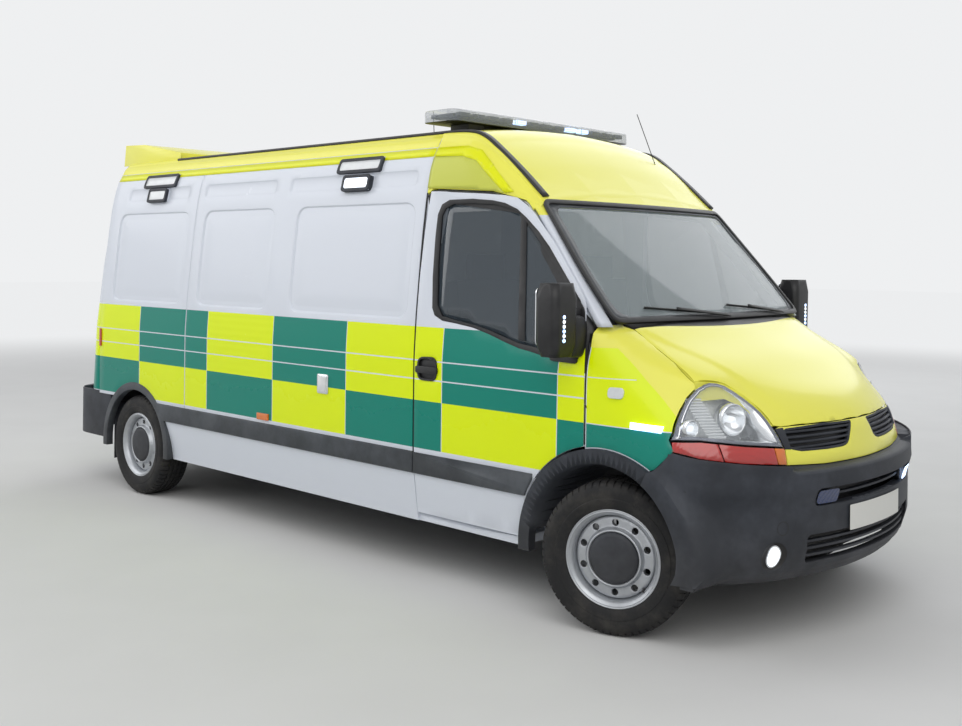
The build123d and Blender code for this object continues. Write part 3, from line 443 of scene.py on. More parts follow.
def grid_faces(tall, wide, round_way=False):
    """Four-sided faces of a grid, joined round where asked."""
    rows, cols = np.meshgrid(np.arange(tall - 1), np.arange(wide if round_way else wide - 1), indexing="ij")
    a = rows * wide + cols
    b = rows * wide + (cols + 1) % wide
    return np.stack([a, b, b + wide, a + wide], -1).reshape(-1, 4)


def tube(name, rings, material, first=True, last=True):
    """A skin over closed rings of points, with flat ends where asked."""
    rings = np.asarray(rings)
    tall, count = rings.shape[:2]
    faces = [tuple(face) for face in grid_faces(tall, count, True)]
    if first:
        faces.append(tuple(range(count))[::-1])
    if last:
        faces.append(tuple(range((tall - 1) * count, tall * count)))
    return mend_normals(link(name, rings.reshape(-1, 3), faces, material))


def soften(piece, width, segments=2, angle=35):
    """Rounds the edges that turn by more than an angle in degrees."""
    bevel = piece.modifiers.new("rounding", "BEVEL")
    bevel.width, bevel.segments = width, segments
    bevel.limit_method, bevel.angle_limit = "ANGLE", math.radians(angle)
    bevel.harden_normals = False
    return piece


def shell(piece, thick, rim=0.0):
    """Gives a sheet a thickness inward and rounded rims, where they are more than 0."""
    if thick:
        solid = piece.modifiers.new("thickness", "SOLIDIFY")
        solid.thickness, solid.offset = thick, -1
    return soften(piece, rim) if rim else piece


def one(name, pieces, thick=0.0, rim=0.0):
    """Pieces made one, and given one thickness and rim."""
    with bpy.context.temp_override(active_object=pieces[0], selected_editable_objects=pieces):
        bpy.ops.object.join()
    pieces[0].name = name
    return shell(pieces[0], thick, rim)


def reshaped(mesh, change):
    """Gives a mesh new points: a function of all its points."""
    flat = np.empty(len(mesh.vertices) * 3)
    mesh.vertices.foreach_get("co", flat)
    mesh.vertices.foreach_set("co", change(flat.reshape(-1, 3)).ravel())


def mirror_image(piece, name):
    """A copy with its x turned round, for the other side."""
    twin = piece.copy()
    twin.data = piece.data.copy()
    twin.name = name
    reshaped(twin.data, lambda spots: spots * (-1, 1, 1))
    twin.data.flip_normals()
    bpy.context.scene.collection.objects.link(twin)
    return twin


def pair(piece, rider="body", node=None):
    """A left-hand piece and its mirror image, each riding its own door where the rider is one, and each
    standing for the node of its side."""
    twin = mirror_image(piece, piece.name.replace("left", "right"))
    for side, made in (("left", piece), ("right", twin)):
        body = rider if rider == "body" else f"{rider}_{side}"
        settle(made, body, *([f"{node}_{side}"] if node else []))


def only_right(piece):
    """A piece made on the left, kept only as its mirror image on the right."""
    name = piece.name
    twin = mirror_image(piece, name)
    bpy.data.objects.remove(piece)
    twin.name = name
    settle(twin)


def closed(points, spacing):
    """A loop resampled so that no side is longer than the spacing; corners stay."""
    points = np.asarray(points, float)
    out = []
    for here, there in zip(points, np.roll(points, -1, axis=0)):
        steps = max(1, int(math.ceil(np.linalg.norm(there - here) / spacing)))
        out.append(here + (there - here) * np.linspace(0, 1, steps, endpoint=False)[:, None])
    return np.concatenate(out)


def rounded(points, radius, segments=6):
    """A polygon with each corner turned into a quadratic curve that starts a radius before it."""
    points = np.asarray(points, float)
    radii = np.broadcast_to(radius, len(points))
    out = []
    for before, here, after, r in zip(np.roll(points, 1, 0), points, np.roll(points, -1, 0), radii):
        if r <= 0:
            out.append(here[None])
            continue
        back, on = before - here, after - here
        reach = min(r, np.linalg.norm(back) * 0.49, np.linalg.norm(on) * 0.49)
        start = here + back / np.linalg.norm(back) * reach
        stop = here + on / np.linalg.norm(on) * reach
        t = np.linspace(0, 1, segments + 1)[:, None]
        out.append((1 - t) ** 2 * start + 2 * t * (1 - t) * here + t**2 * stop)
    return np.concatenate(out)


def box_loop(y0, y1, z0, z1, radius, segments=7, spacing=0.05):
    """A rectangle with rounded corners."""
    return closed(rounded([(y0, z0), (y1, z0), (y1, z1), (y0, z1)], radius, segments), spacing)


def shrunk(loop, by):
    """A loop moved inward by a distance."""
    way = np.roll(loop, -1, 0) - np.roll(loop, 1, 0)
    normal = np.stack([-way[:, 1], way[:, 0]], -1)
    normal /= np.linalg.norm(normal, axis=1)[:, None]
    turn = np.sum(loop[:, 0] * np.roll(loop[:, 1], -1) - np.roll(loop[:, 0], -1) * loop[:, 1])
    return loop + normal * by * np.sign(turn)


def arc_points(centre, radius, start, stop, count):
    """Points on a circle between two angles in degrees."""
    angles = np.radians(np.linspace(start, stop, count))
    return [(centre[0] + radius * math.cos(a), centre[1] + radius * math.sin(a)) for a in angles]


def oval(s, z, wide, high, count=36):
    """A closed ellipse with its middle at s, z and two half sizes."""
    angles = np.linspace(0, 2 * math.pi, count, endpoint=False)
    return np.stack([s + wide * np.cos(angles), z + high * np.sin(angles)], -1)


def inside(points, loop):
    """Which points lie inside a closed loop."""
    x, y = points[:, 0], points[:, 1]
    hit = np.zeros(len(points), bool)
    for (x0, y0), (x1, y1) in zip(loop, np.roll(loop, -1, axis=0)):
        spans = (y0 > y) != (y1 > y)
        with np.errstate(divide="ignore", invalid="ignore"):
            hit ^= spans & (x < (x1 - x0) * (y - y0) / (y1 - y0) + x0)
    return hit


def distance_to(points, loop):
    """Each point's distance to the nearest side of a loop."""
    best = np.full(len(points), 9.0)
    for here, there in zip(loop, np.roll(loop, -1, axis=0)):
        along = there - here
        length = max(float(along @ along), 1e-12)
        t = np.clip(((points - here) @ along) / length, 0, 1)
        best = np.minimum(best, np.linalg.norm(points - here - t[:, None] * along, axis=1))
    return best


def triangulated(loops, step, rings=()):
    """Flat triangles inside the first loop and outside the others, with a point grid between."""
    loops = [np.asarray(loop, float) for loop in loops]
    fixed = loops + [np.asarray(ring, float) for ring in rings]

    def within(points):
        keep = inside(points, loops[0])
        for hole in loops[1:]:
            keep &= ~inside(points, hole)
        return keep

    low, high = loops[0].min(0), loops[0].max(0)
    across, along = (np.arange(low[i] + step * 0.5, high[i], step) for i in (0, 1))
    cloud = np.stack(np.meshgrid(across, along, indexing="ij"), -1).reshape(-1, 2)
    cloud = cloud[within(cloud)]
    for loop in fixed:
        cloud = cloud[distance_to(cloud, loop) > step * 0.45]
    points, edges = [], []
    for loop in fixed:
        start, count = len(points), len(loop)
        points += [tuple(p) for p in loop]
        edges += [(start + i, start + (i + 1) % count) for i in range(count)]
    points += [tuple(p) for p in cloud]
    got = delaunay_2d_cdt([Vector(p) for p in points], edges, [], 0, 1e-6)
    verts = np.array([tuple(v) for v in got[0]])
    faces = np.array([f for f in got[2] if len(f) == 3])
    return verts, faces[within(verts[faces].mean(axis=1))]


RAYS = {
    "z": (lambda a, b: Vector((a, b, 5)), Vector((0, 0, -1))),
    "x": (lambda a, b: Vector((5, a, b)), Vector((-1, 0, 0))),
    "y": (lambda a, b: Vector((a, -6, b)), Vector((0, 1, 0))),
}


class Form:
    """A master surface that flat patches are laid on, by rays down z, in from the left or from the front."""

    def __init__(self, grid):
        faces = [tuple(map(int, face)) for face in grid_faces(*grid.shape[:2])]
        self.tree = BVHTree.FromPolygons([Vector(p) for p in grid.reshape(-1, 3)], faces)

    def __call__(self, flat, axis):
        begin, way = RAYS[axis]
        out = []
        for a, b in flat:
            start = begin(a, b)
            spot = self.tree.ray_cast(start, way)[0]
            out.append(tuple(self.tree.find_nearest(start + way * 4)[0] if spot is None else spot))
        return np.array(out)


def moved(form, *by):
    """A form with every point moved by x, y, z."""
    return lambda flat, axis: form(flat, axis) + by


def laid(name, loops, axis, form, step, material, thick=0.0, rim=0.0, rings=()):
    """A panel: loops in the view along an axis, triangulated, laid on a form and thickened."""
    verts, faces = triangulated(loops, step, rings)
    spots = form(verts, axis)
    a, b, c = (spots[faces[:, i]] for i in range(3))
    facing = np.cross(b - a, c - a).sum(axis=0)
    if {"x": facing[0], "y": -facing[1], "z": facing[2]}[axis] < 0:
        faces = faces[:, ::-1]
    return shell(link(name, spots, faces, material), thick, rim)


def worn(node, material, rider="body", width=0.002, rules=()):
    """A welded copy of a CAD node in its place, with rounded edges. Faces whose middle meets a rule take
    that rule's material; x is measured outward on both sides."""
    data = frame["nodes"][node].data.copy()
    piece = placed(f"{node}_soft", data)

    def weld(mesh):
        bmesh.ops.remove_doubles(mesh, verts=mesh.verts, dist=0.00005)
        if width:
            flat = math.radians(1.0)
            bmesh.ops.dissolve_limit(mesh, angle_limit=flat, verts=mesh.verts, edges=mesh.edges)

    edited(data, weld)
    paint(piece, material)
    data.shade_smooth()
    if width:
        soften(piece, width, 2, 28)
    else:
        data.set_sharp_from_angle(angle=math.radians(32))
    for slot, (other, rule) in enumerate(rules, 1):
        data.materials.append(PAINT[other])
        for face in data.polygons:
            x, y, z = face.center
            if rule(abs(x), y, z):
                face.material_index = slot
    return settle(piece, rider, node)


def slab_box(name, x0, x1, y0, y1, z0, z1, material):
    """A box."""
    corners = [(x, y, z) for x in (x0, x1) for y in (y0, y1) for z in (z0, z1)]
    faces = [(0, 1, 3, 2), (4, 6, 7, 5), (0, 4, 5, 1), (2, 3, 7, 6), (0, 2, 6, 4), (1, 5, 7, 3)]
    return mend_normals(link(name, corners, faces, material))


def swept(path, section, material, up=(0, 0, 1), caps=True, name="sweep"):
    """A closed section carried along a path; section x is across, y is along the path's up side."""
    path, section = np.asarray(path, float), np.asarray(section, float)
    way = np.gradient(path, axis=0)
    way /= np.linalg.norm(way, axis=1)[:, None]
    across = np.cross(way, np.broadcast_to(np.asarray(up, float), path.shape))
    across /= np.linalg.norm(across, axis=1)[:, None]
    over = np.cross(across, way)
    rings = path[:, None] + section[None, :, :1] * across[:, None] + section[None, :, 1:] * over[:, None]
    return tube(name, rings, material, caps, caps)


def line_between(start, stop, count):
    """Even points from start to stop."""
    return np.linspace(0, 1, count)[:, None] * (np.array(stop) - np.array(start)) + np.array(start)


def box_section(wide, high, round_by=0.3):
    """A rectangle about the middle, its corners rounded by a share of its smaller side."""
    w, h = wide / 2, high / 2
    return rounded([(-w, -h), (w, -h), (w, h), (-w, h)], min(wide, high) * round_by, 4)


def lathe(profile, centre, way, material, segments=32):
    """A profile of (along, radius) turned about an axis from a centre, closed where it has a radius."""
    turn = np.array(Vector((0, 0, 1)).rotation_difference(Vector(way).normalized()).to_matrix())
    angles = np.linspace(0, 2 * math.pi, segments, endpoint=False)
    along, radius = np.array(profile, float).T[:, :, None]
    flat = (radius * np.cos(angles), radius * np.sin(angles), along)
    rings = np.stack(np.broadcast_arrays(*flat), -1)
    ends = [profile[i][1] > 0.0005 for i in (0, -1)]
    return tube("turned", rings @ turn.T + np.array(centre), material, *ends)


# Master forms: the same sections as the CAD model, run through smooth splines, in millimetres
# Level sections of the nose: z, then half-plan points x, y from the door shut round to the middle
NOSE = [
    (700, 985, -2004, 984, -2250, 966, -2440, 903, -2585, 743, -2725, 422, -2838, 0, -2887),
    (780, 985, -2004, 984, -2250, 965, -2440, 900, -2580, 740, -2720, 420, -2836, 0, -2885),
    (870, 985, -2004, 981, -2250, 955, -2430, 880, -2570, 715, -2705, 400, -2820, 0, -2862),
    (960, 985, -2004, 976, -2250, 930, -2420, 845, -2550, 680, -2680, 380, -2785, 0, -2838),
    (1060, 984, -2004, 967, -2200, 905, -2370, 810, -2500, 640, -2610, 350, -2700, 0, -2738),
    (1140, 981, -2004, 958, -2150, 880, -2330, 790, -2480, 620, -2540, 340, -2590, 0, -2608),
    (1220, 970, -2004, 938, -2120, 865, -2260, 780, -2360, 610, -2425, 330, -2460, 0, -2478),
    (1300, 948, -2004, 905, -2090, 845, -2170, 770, -2210, 600, -2262, 320, -2300, 0, -2318),
    (1370, 905, -2004, 850, -2040, 800, -2080, 700, -2110, 560, -2150, 300, -2180, 0, -2190),
    (1392, 720, -2004, 640, -2020, 560, -2040, 480, -2060, 380, -2080, 200, -2100, 0, -2110),
]
# Sections of the cab roof: y, then half-section points x, z from the door up to the middle
CAB_ROOF = [
    (-880, 915, 1935, 905, 2030, 868, 2190, 800, 2318, 748, 2350, 400, 2390, 0, 2405),
    (-1100, 890, 1935, 880, 2030, 848, 2180, 795, 2295, 740, 2340, 400, 2378, 0, 2393),
    (-1240, 874, 1935, 862, 2030, 835, 2140, 790, 2225, 740, 2268, 400, 2312, 0, 2328),
    (-1420, 850, 1935, 838, 1985, 820, 2050, 790, 2095, 740, 2125, 400, 2172, 0, 2188),
    (-1590, 826, 1915, 820, 1930, 808, 1945, 788, 1958, 745, 1972, 400, 2010, 0, 2025),
    (-1680, 815, 1825, 806, 1840, 796, 1855, 776, 1870, 742, 1885, 400, 1925, 0, 1940),
]
# Side section of the body from sill to roof joint, and its front edge: x, z
SIDE = mm(950, 300, 985, 545, 992, 690, 992, 1160, 978, 1390, 957, 1610, 934, 1820)
SIDE += mm(905, 2030, 868, 2190, 800, 2318)
FORE = mm(940, 300, 980, 545, 985, 690, 978, 1160, 940, 1340, 742, 2030, 697, 2190)
FORE_Y = -2.120


def both_ways(half):
    """Half rows continued through the middle to the other side."""
    half = np.asarray(half, float)
    return np.concatenate([half, half[:, -2::-1] * (-1, 1, 1)], axis=1)


nose_rows = both_ways([[(x, y, z / 1000) for x, y in mm(*half)] for z, *half in NOSE])
nose = Form(sheet_grid(nose_rows, 120, 160))
roof_rows = both_ways([[(x, y / 1000, z) for x, z in mm(*half)] for y, *half in CAB_ROOF])
cab_roof = Form(sheet_grid(roof_rows, 90, 140))


def eased(profile):
    """Half width against height, with the corners of the profile smoothed over 60 mm."""
    x, z = np.array(profile).T
    heights = np.linspace(z[0] - 0.05, z[-1] + 0.05, 800)
    widths = np.interp(heights, z, x)
    reach = int(0.06 / (heights[1] - heights[0])) // 2
    padded = np.concatenate([np.full(reach, widths[0]), widths, np.full(reach, widths[-1])])
    return heights, np.convolve(padded, np.ones(2 * reach + 1) / (2 * reach + 1), "valid")


SIDE_EASED, FORE_EASED = eased(SIDE), eased(FORE)


def side_x(y, z):
    """Half width of the body side: one section aft of the door post, narrowing forward of it."""
    aft, fore = np.interp(z, *SIDE_EASED), np.interp(z, *FORE_EASED)
    return aft + (fore - aft) * np.clip((POST_Y - y) / (POST_Y - FORE_Y), 0, 1)


def smooth(value):
    """0 to 1 with level ends: 3 t squared less 2 t cubed."""
    t = np.clip(value, 0, 1)
    return t * t * (3 - 2 * t)


def flank(lift=SKIN_LIFT, pressings=()):
    """The body side as a form reached along x, with a lift outward. Each pressing sinks by a depth over an
    ease from its loop inward, and rises again toward its middle."""

    def place(flat, axis):
        y, z = flat[:, 0], flat[:, 1]
        x = side_x(y, z) + lift
        for loop, depth, ease, rise in pressings:
            far = distance_to(flat, loop)
            sunk = depth * smooth(far / ease) - rise * smooth((far - ease * 2.2) / (ease * 3))
            x = x - np.where(inside(flat, loop), sunk, 0)
        return np.stack([x, y, z], -1)

    return place


def on_side(rows, name, thick, rim=0.0):
    """Sheets on the side, each from a lift off the flank or a form, a grid step, a material and loops."""
    made = []
    for form, step, material, *loops in rows:
        form = form if callable(form) else flank(form)
        made.append(laid("sheet", loops, "x", form, step, material))
    return one(name, made, thick, rim)


# Window-shaped pressings and the small ones above them: y from, y to, z from, z to, corner
WINDOW_Z, UPPER_Z = (1.350, 1.975, 0.09), (2.060, 2.150, 0.03)
PRESSINGS = [(*ends, *WINDOW_Z) for ends in mm(-810, 225, 440, 1225, 1405, 2330)]
UPPER = [(*ends, *UPPER_Z) for ends in mm(-790, 330, 470, 1260, 1450, 2250)]
# The left side has the sliding door, so its pressings stand clear of the door's edges
LEFT_PRESSINGS = [(*ends, *WINDOW_Z) for ends in mm(-690, 370, 520, 1225)] + PRESSINGS[2:]
SLIDING_DOOR = (-0.758, 0.438, 0.690, 2.118)
ROOF_SEAM, FLANK_LOW, FLANK_FORE, FLANK_AFT = 2.268, 0.668, -0.877, 2.478


def pressed(large, small):
    """Form of a flank and the guide rings of its pressings. Of each kind: the corner's segments, the depth,
    ease and rise, and how far inside the edge its rings lie."""
    sunk, rings = [], []
    large = (large, 7, (0.012, 0.013, 0.006), (0.005, 0.010, 0.015, 0.032, 0.074))
    small = (small, 4, (0.006, 0.010, 0), (0.005, 0.010))
    for rows, segments, shape, steps in (large, small):
        for row in rows:
            loop = box_loop(*row, segments)
            sunk.append((loop, *shape))
            rings += [loop] + [shrunk(loop, by) for by in steps]
    return flank(SKIN_LIFT, sunk), rings


# Lower edge of the flank follows the moulding and the arch; the sill below is a piece of its own
REAR_ARCH = 0.440
arch_at = math.degrees(math.asin((FLANK_LOW - HUB_Z) / REAR_ARCH))


def flank_box(aft, fore):
    """The corners of a flank panel between two y."""
    return [(aft, FLANK_LOW), (aft, ROOF_SEAM), (fore, ROOF_SEAM), (fore, FLANK_LOW)]


flank_loops = {
    "fore": flank_box(PANEL_JOINT - 0.002, FLANK_FORE),
    "aft": flank_box(FLANK_AFT, PANEL_JOINT + 0.002)
    + arc_points((REAR_AXLE, HUB_Z), REAR_ARCH, 180 - arch_at, arch_at, 16),
}
for part, loop in flank_loops.items():
    edge = closed(loop, 0.06)
    low_y, high_y = edge[:, 0].min(), edge[:, 0].max()
    for side, rows in (("left", (LEFT_PRESSINGS, UPPER[1:])), ("right", (PRESSINGS, UPPER))):
        form, rings = pressed(*rows)
        here = [ring for ring in rings if ring[:, 0].min() > low_y and ring[:, 0].max() < high_y]
        panel = laid(f"flank_{part}_{side}", [edge], "x", form, 0.055, "livery", 0.0025, 0.0012, here)
        settle(panel) if side == "left" else only_right(panel)

# Outlines from the front, x and z, of the left headlamp and of the strip under it
LAMP = mm(945, 905, 932, 935, 917, 970, 898, 1002, 878, 1031, 842, 1081, 807, 1122, 775, 1140, 743, 1147)
LAMP += mm(710, 1143, 676, 1132, 645, 1105, 620, 1076, 603, 1045, 592, 1019, 587, 985, 585, 955, 578, 915)
LAMP += mm(571, 873, 660, 882, 747, 890, 820, 900, 884, 908)
STRIP = mm(943, 898, 884, 903, 820, 895, 747, 885, 660, 877, 571, 868)
STRIP += mm(578, 803, 670, 810, 768, 818, 850, 829, 903, 838, 951, 860)
# Bonnet: its edge follows the lamps; a step in the panel runs from each rear corner to the nose
BONNET_FRONT = 0.958
CREASE_FROM, CREASE_TO = np.array((0.743, -2.128)), np.array((0.495, -2.704))


def creased(flat, axis):
    """The nose with the bonnet's middle raised 7 mm within two creases, easing out at its front edge."""
    spots = nose(flat, axis)
    along = (CREASE_TO - CREASE_FROM) / np.linalg.norm(CREASE_TO - CREASE_FROM)
    offset = np.stack([np.abs(flat[:, 0]), flat[:, 1]], -1) - CREASE_FROM
    inward = -(offset[:, 0] * -along[1] + offset[:, 1] * along[0])
    fade = np.clip((flat[:, 1] + 2.84) / 0.12, 0, 1)
    spots[:, 2] += 0.007 * smooth(inward / 0.028 + 0.5) * fade + 0.001
    return spots


front_edge = [(x, nose([(x, BONNET_FRONT)], "y")[0][1]) for x in (0.545, 0.45, 0.35, 0.25, 0.15, 0.0)]
lamp_inner = nose(LAMP[8:17], "y")
half_bonnet = mm(765, -2118, 772, -2250, 785, -2350, 800, -2462)
half_bonnet += [(max(0.55, p[0] - 0.006), p[1] + 0.004) for p in lamp_inner] + front_edge
back = [(0.765 * t, -2.118 - 0.110 * (1 - t * t)) for t in np.linspace(0, 1, 10)]
bonnet_loop = half_bonnet + [(-x, y) for x, y in reversed(half_bonnet[:-1])]
bonnet_loop += [(-x, y) for x, y in reversed(back[:-1])] + back[1:-1]
bonnet = laid("bonnet_skin", [closed(bonnet_loop, 0.03)], "z", creased, 0.022, "yellow", 0.004, 0.002)
settle(bonnet, "bonnet")

# Scuttle under the windscreen
rim_back = [(x, y + 0.0056) for x, y in back]
scuttle_loop = [(-x, y) for x, y in reversed(rim_back)] + rim_back[1:] + [(0.775, -2.010), (-0.775, -2.010)]
scuttle = laid("scuttle_panel", [closed(scuttle_loop, 0.04)], "z", nose, 0.03, "black", 0.012, 0.002)
settle(scuttle, "body", "scuttle")

# Wings, seen from the side: door shut, bonnet edge, lamp, bumper seam and wheel arch
wing_loop = mm(-2008.5, 819.5, -2008.5, 1372, -2060, 1378)
wing_loop += [(p[1], p[2]) for p in nose([(x + 0.006, y) for x, y in half_bonnet[:4]], "z")]
wing_loop += [(p[1] + 0.004, p[2] + 0.002) for p in nose(LAMP[:7], "y")[::-1]]
wing_loop += mm(-2455, 862, -2420, 822, -2378, 778) + arc_points(FRONT_HUB, 0.486, 120, 78, 12)
pair(laid("wing_left", [closed(wing_loop, 0.03)], "x", nose, 0.028, "wing", 0.004, 0.0015), "body", "wing")

# Nose panel round the two grille openings
GRILLE = mm(75, 955, 300, 958.5, 540, 951, 552, 905, 543, 868, 480, 855, 300, 850, 180, 850, 133, 862)
grille_loop = rounded(GRILLE, [0.015, 0, 0.02, 0.02, 0.02, 0, 0, 0.03, 0.03], 5)
panel_half = mm(0, 956, 560, 956, 581, 950, 573, 905, 566, 866, 573, 801, 344, 789, 0, 786)
panel_loop = [(-x, z) for x, z in reversed(panel_half[1:-1])] + panel_half
hole = closed(grille_loop - (0, 0.004), 0.03)
panel_loops = [closed(panel_loop, 0.03), hole, (hole * (-1, 1))[::-1]]
settle(laid("nose_panel", panel_loops, "y", nose, 0.022, "yellow", 0.012, 0.002), "body", "front_panel")

# Grilles: four slats before a dark plate, in a frame; all on the nose form, set back
slat_xs = np.linspace(0.08, 0.575, 26)
back_loop = closed(rounded(mm(40, 965, 580, 965, 580, 835, 100, 835), 0.01), 0.05)
grille = [laid("back", [back_loop], "y", moved(nose, 0, 0.034, 0), 0.05, "black")]
frame_path = moved(nose, 0, 0.010, 0)(closed(shrunk(hole, 0.004), 0.012), "y")
frame_path = np.concatenate([frame_path, frame_path[:1]])
grille.append(swept(frame_path, box_section(0.012, 0.018), "bumper", (0, -1, 0), False))
for z in (0.866, 0.888, 0.910, 0.932):
    spots = moved(nose, 0, 0.014, 0)(np.stack([slat_xs, np.full(26, z)], -1), "y")
    grille.append(swept(spots, box_section(0.020, 0.011, 0.45), "bumper"))
pair(one("grille_left", grille, 0.003))


# Headlamps: a clear lens over a bright bowl with a ribbed block and two reflectors
BOWL_BACK = -2.34


def sunk_y(y):
    """A y drawn 45 per cent of the way to a plane behind the lens."""
    return y * 0.55 + BOWL_BACK * 0.45


def bowl_face(flat, axis):
    """The nose form sunk into the lamp."""
    spots = nose(flat, axis)
    spots[:, 1] = sunk_y(spots[:, 1])
    return spots


lamp_loop = closed(LAMP, 0.02)
lens_loop, inner_loop = shrunk(lamp_loop, 0.004), shrunk(lamp_loop, 0.014)
lens = laid("headlamp_lens_left", [lens_loop], "y", nose, 0.018, "clear", 0.003, 0.001)
rim_loops = [lens_loop, shrunk(lamp_loop, 0.017)[::-1]]
top = nose(inner_loop, "y") + (0, 0.004, 0)
low = np.stack([top[:, 0], sunk_y(top[:, 1]), top[:, 2]], -1)
lamp = [laid("bowl", [inner_loop], "y", bowl_face, 0.02, "lampglass")]
lamp.append(tube("wall", [top, low], "chrome", False, False))
lamp.append(laid("rim", rim_loops, "y", moved(nose, 0, 0.0035, 0), 0.05, "lamprim"))
for x, z, radius, y in ((0.880, 0.955, 0.034, -2.500), (0.690, 0.985, 0.066, -2.590)):
    bowl = [(0.050, 0.001), (0.046, radius * 0.4), (0.030, radius * 0.75), (0.0, radius), (-0.004, radius)]
    bowl += [(-0.004, radius + 0.004), (0.05, radius + 0.004)]
    lamp.append(lathe(bowl, (x, y, z), (-0.30, 1, 0), "chrome", 40))
    lamp.append(lathe([(0.0, 0.0006), (-0.002, 0.014), (0.045, 0.016)], (x, y, z), (-0.30, 1, 0), "bulb", 20))
RIB_X = 0.812
for i in range(14):
    z = 0.922 + i * 0.0115
    xs = RIB_X + 0.031 * np.cos(np.linspace(0, math.pi, 12))
    ys = -2.551 + (z - 0.96) * 0.85 + (xs - RIB_X) * 0.79
    lamp.append(swept(np.stack([xs, ys, np.full(12, z)], -1), box_section(0.010, 0.0095, 0.45), "lampglass"))
pair(one("headlamp_inner_left", lamp, 0.002), "body", "headlamp")
pair(lens)


def clip_x(loop, low, high):
    """A loop cut to a band of its first number."""
    for limit, sign in ((low, 1), (high, -1)):
        out = []
        for here, there in zip(loop, np.roll(loop, -1, axis=0)):
            a, b = sign * (here[0] - limit), sign * (there[0] - limit)
            if a >= 0:
                out.append(here)
            if (a > 0) != (b > 0):
                out.append(here + (there - here) * a / (a - b))
        loop = np.array(out)
    return closed(loop, 0.02)


# Strip under the lamp: two red sections and an amber one
cuts = ((0.838, 1.0, "red"), (0.622, 0.834, "red"), (0.5, 0.618, "amber"))
strip = [laid("strip", [clip_x(np.array(STRIP), *ends)], "y", nose, 0.02, colour) for *ends, colour in cuts]
pair(one("lamp_strip_left", strip, 0.010, 0.002))

# Cab roof skin: from the door tops up and over, as far as the windscreen header
DOOR_TOP = mm(-880, 2034, -917, 2041, -1122, 2032, -1302, 2018, -1440, 1984, -1501, 1966)
DOOR_TOP += mm(-1530, 1944, -1568, 1900, -1592, 1872)
top_y, top_z = np.array(DOOR_TOP)[::-1].T
HEADER_X, HEADER_CORNER, HEADER_MIDDLE, HEADER_BOW = 0.783, -1.592, -1.6555, 0.060
STEPS = 300


def roof_surface(ys):
    """Cab roof at a table of y, whose columns run from the door top to the middle: its section at each y,
    a spline between the neighbours, read at even steps from the height of the door top."""
    stations = np.array([row[0] for row in CAB_ROOF]) / 1000
    flat, cols = ys.ravel(), np.arange(ys.size)
    at = np.interp(-flat, -stations, np.arange(len(stations)))
    sections = cubic([mm(*half) for _, *half in CAB_ROOF], at).transpose(1, 0, 2)
    fine = cubic(sections, np.linspace(0, 6, STEPS))
    low, top = fine[:80, :, 1], np.interp(flat, top_y, top_z)
    above = np.clip((low < top).sum(axis=0), 1, 79)
    z0, z1 = low[above - 1, cols], low[above, cols]
    start = above - 1 + np.clip((top - z0) / (z1 - z0), 0, 1)
    share = np.tile(np.linspace(0, 1, ys.shape[1]), ys.shape[0])
    picks = start + (STEPS - 1 - start) * share
    i = np.minimum(picks.astype(int), STEPS - 2)
    t = (picks - i)[:, None]
    spots = fine[i, cols] * (1 - t) + fine[i + 1, cols] * t
    return np.c_[spots[:, 0], flat, spots[:, 1]].reshape(*ys.shape, 3)


# The front edge of the skin bows forward toward the middle as a parabola
guess = roof_surface(np.full((1, 70), -1.60))[0, :, 0]
bowed = HEADER_MIDDLE + HEADER_BOW * np.minimum(1, (guess / HEADER_X) ** 2)
ends = np.where(guess < HEADER_X, bowed, HEADER_CORNER)
start = POST_Y - 0.002
half_roof = roof_surface(start + (ends - start) * np.linspace(0, 1, 64)[:, None])
roof_points = both_ways(half_roof + (0, 0, 0.002))
skin = link("cab_roof_skin", roof_points.reshape(-1, 3), grid_faces(*roof_points.shape[:2]), "yellow")
settle(shell(mend_normals(skin), 0.004, 0.002))


# Windscreen: black rubber, a grey printed band and the glass, all on one bowed form
def screen(lift=0.0):
    """The windscreen reached by x and z, with a lift outward: with t up the glass, y = foot + 0.483 t less
    a bow of 77 - 17 t mm times 1 - (x over the half width) squared."""

    def place(flat, axis):
        x, z = flat.T
        t = (z - 1.398) / 0.560
        bow = (0.077 - 0.017 * t) * (1 - (x / (0.862 - 0.079 * t)) ** 2)
        return np.stack([x, -2.073 + 0.483 * t - bow - 0.76 * lift, z + 0.65 * lift], -1)

    return place


def two_sided(half, radius):
    """A loop from its left half, mirrored through x = 0 and rounded."""
    half = np.asarray(half, float)
    return closed(rounded(np.concatenate([half, half[::-1] * (-1, 1)]), radius, 8), 0.05)


rubber_loop = two_sided(mm(872, 1384, 872, 1500, 862, 1620, 843, 1750, 822, 1870, 806, 1970), 0.06)
band_loop = two_sided(mm(812, 1414, 806, 1620, 765, 1800, 752, 1936), 0.075)
rubber_loops, band_loops = [rubber_loop, shrunk(rubber_loop, 0.022)], [shrunk(rubber_loop, 0.021), band_loop]
settle(laid("screen_rubber", rubber_loops, "y", screen(0.009), 0.05, "black", 0.015, 0.003))
settle(laid("screen_band", band_loops, "y", screen(0.0012), 0.05, "band", 0.002))
pane = laid("screen_glass", [shrunk(rubber_loop, 0.018)], "y", screen(), 0.06, "screen", 0.006)
settle(pane, "body", "windscreen")

# Pillars: a straight blend from a foot section to a head section
foot = rounded(mm(862, -2074, 918, -2052, 918, -2012, 862, -2010), 0.012, 4)
head = rounded(mm(783, -1590, 822, -1572, 822, -1534, 783, -1536), 0.012, 4)
foot, head = (np.c_[plan, np.full(len(plan), z)] for plan, z in ((foot, 1.370), (head, 1.950)))
rings = [foot + (head - foot) * t for t in np.linspace(0, 1, 20)]
pair(tube("pillar_skin_left", rings, "pillar"), "body", "pillar")

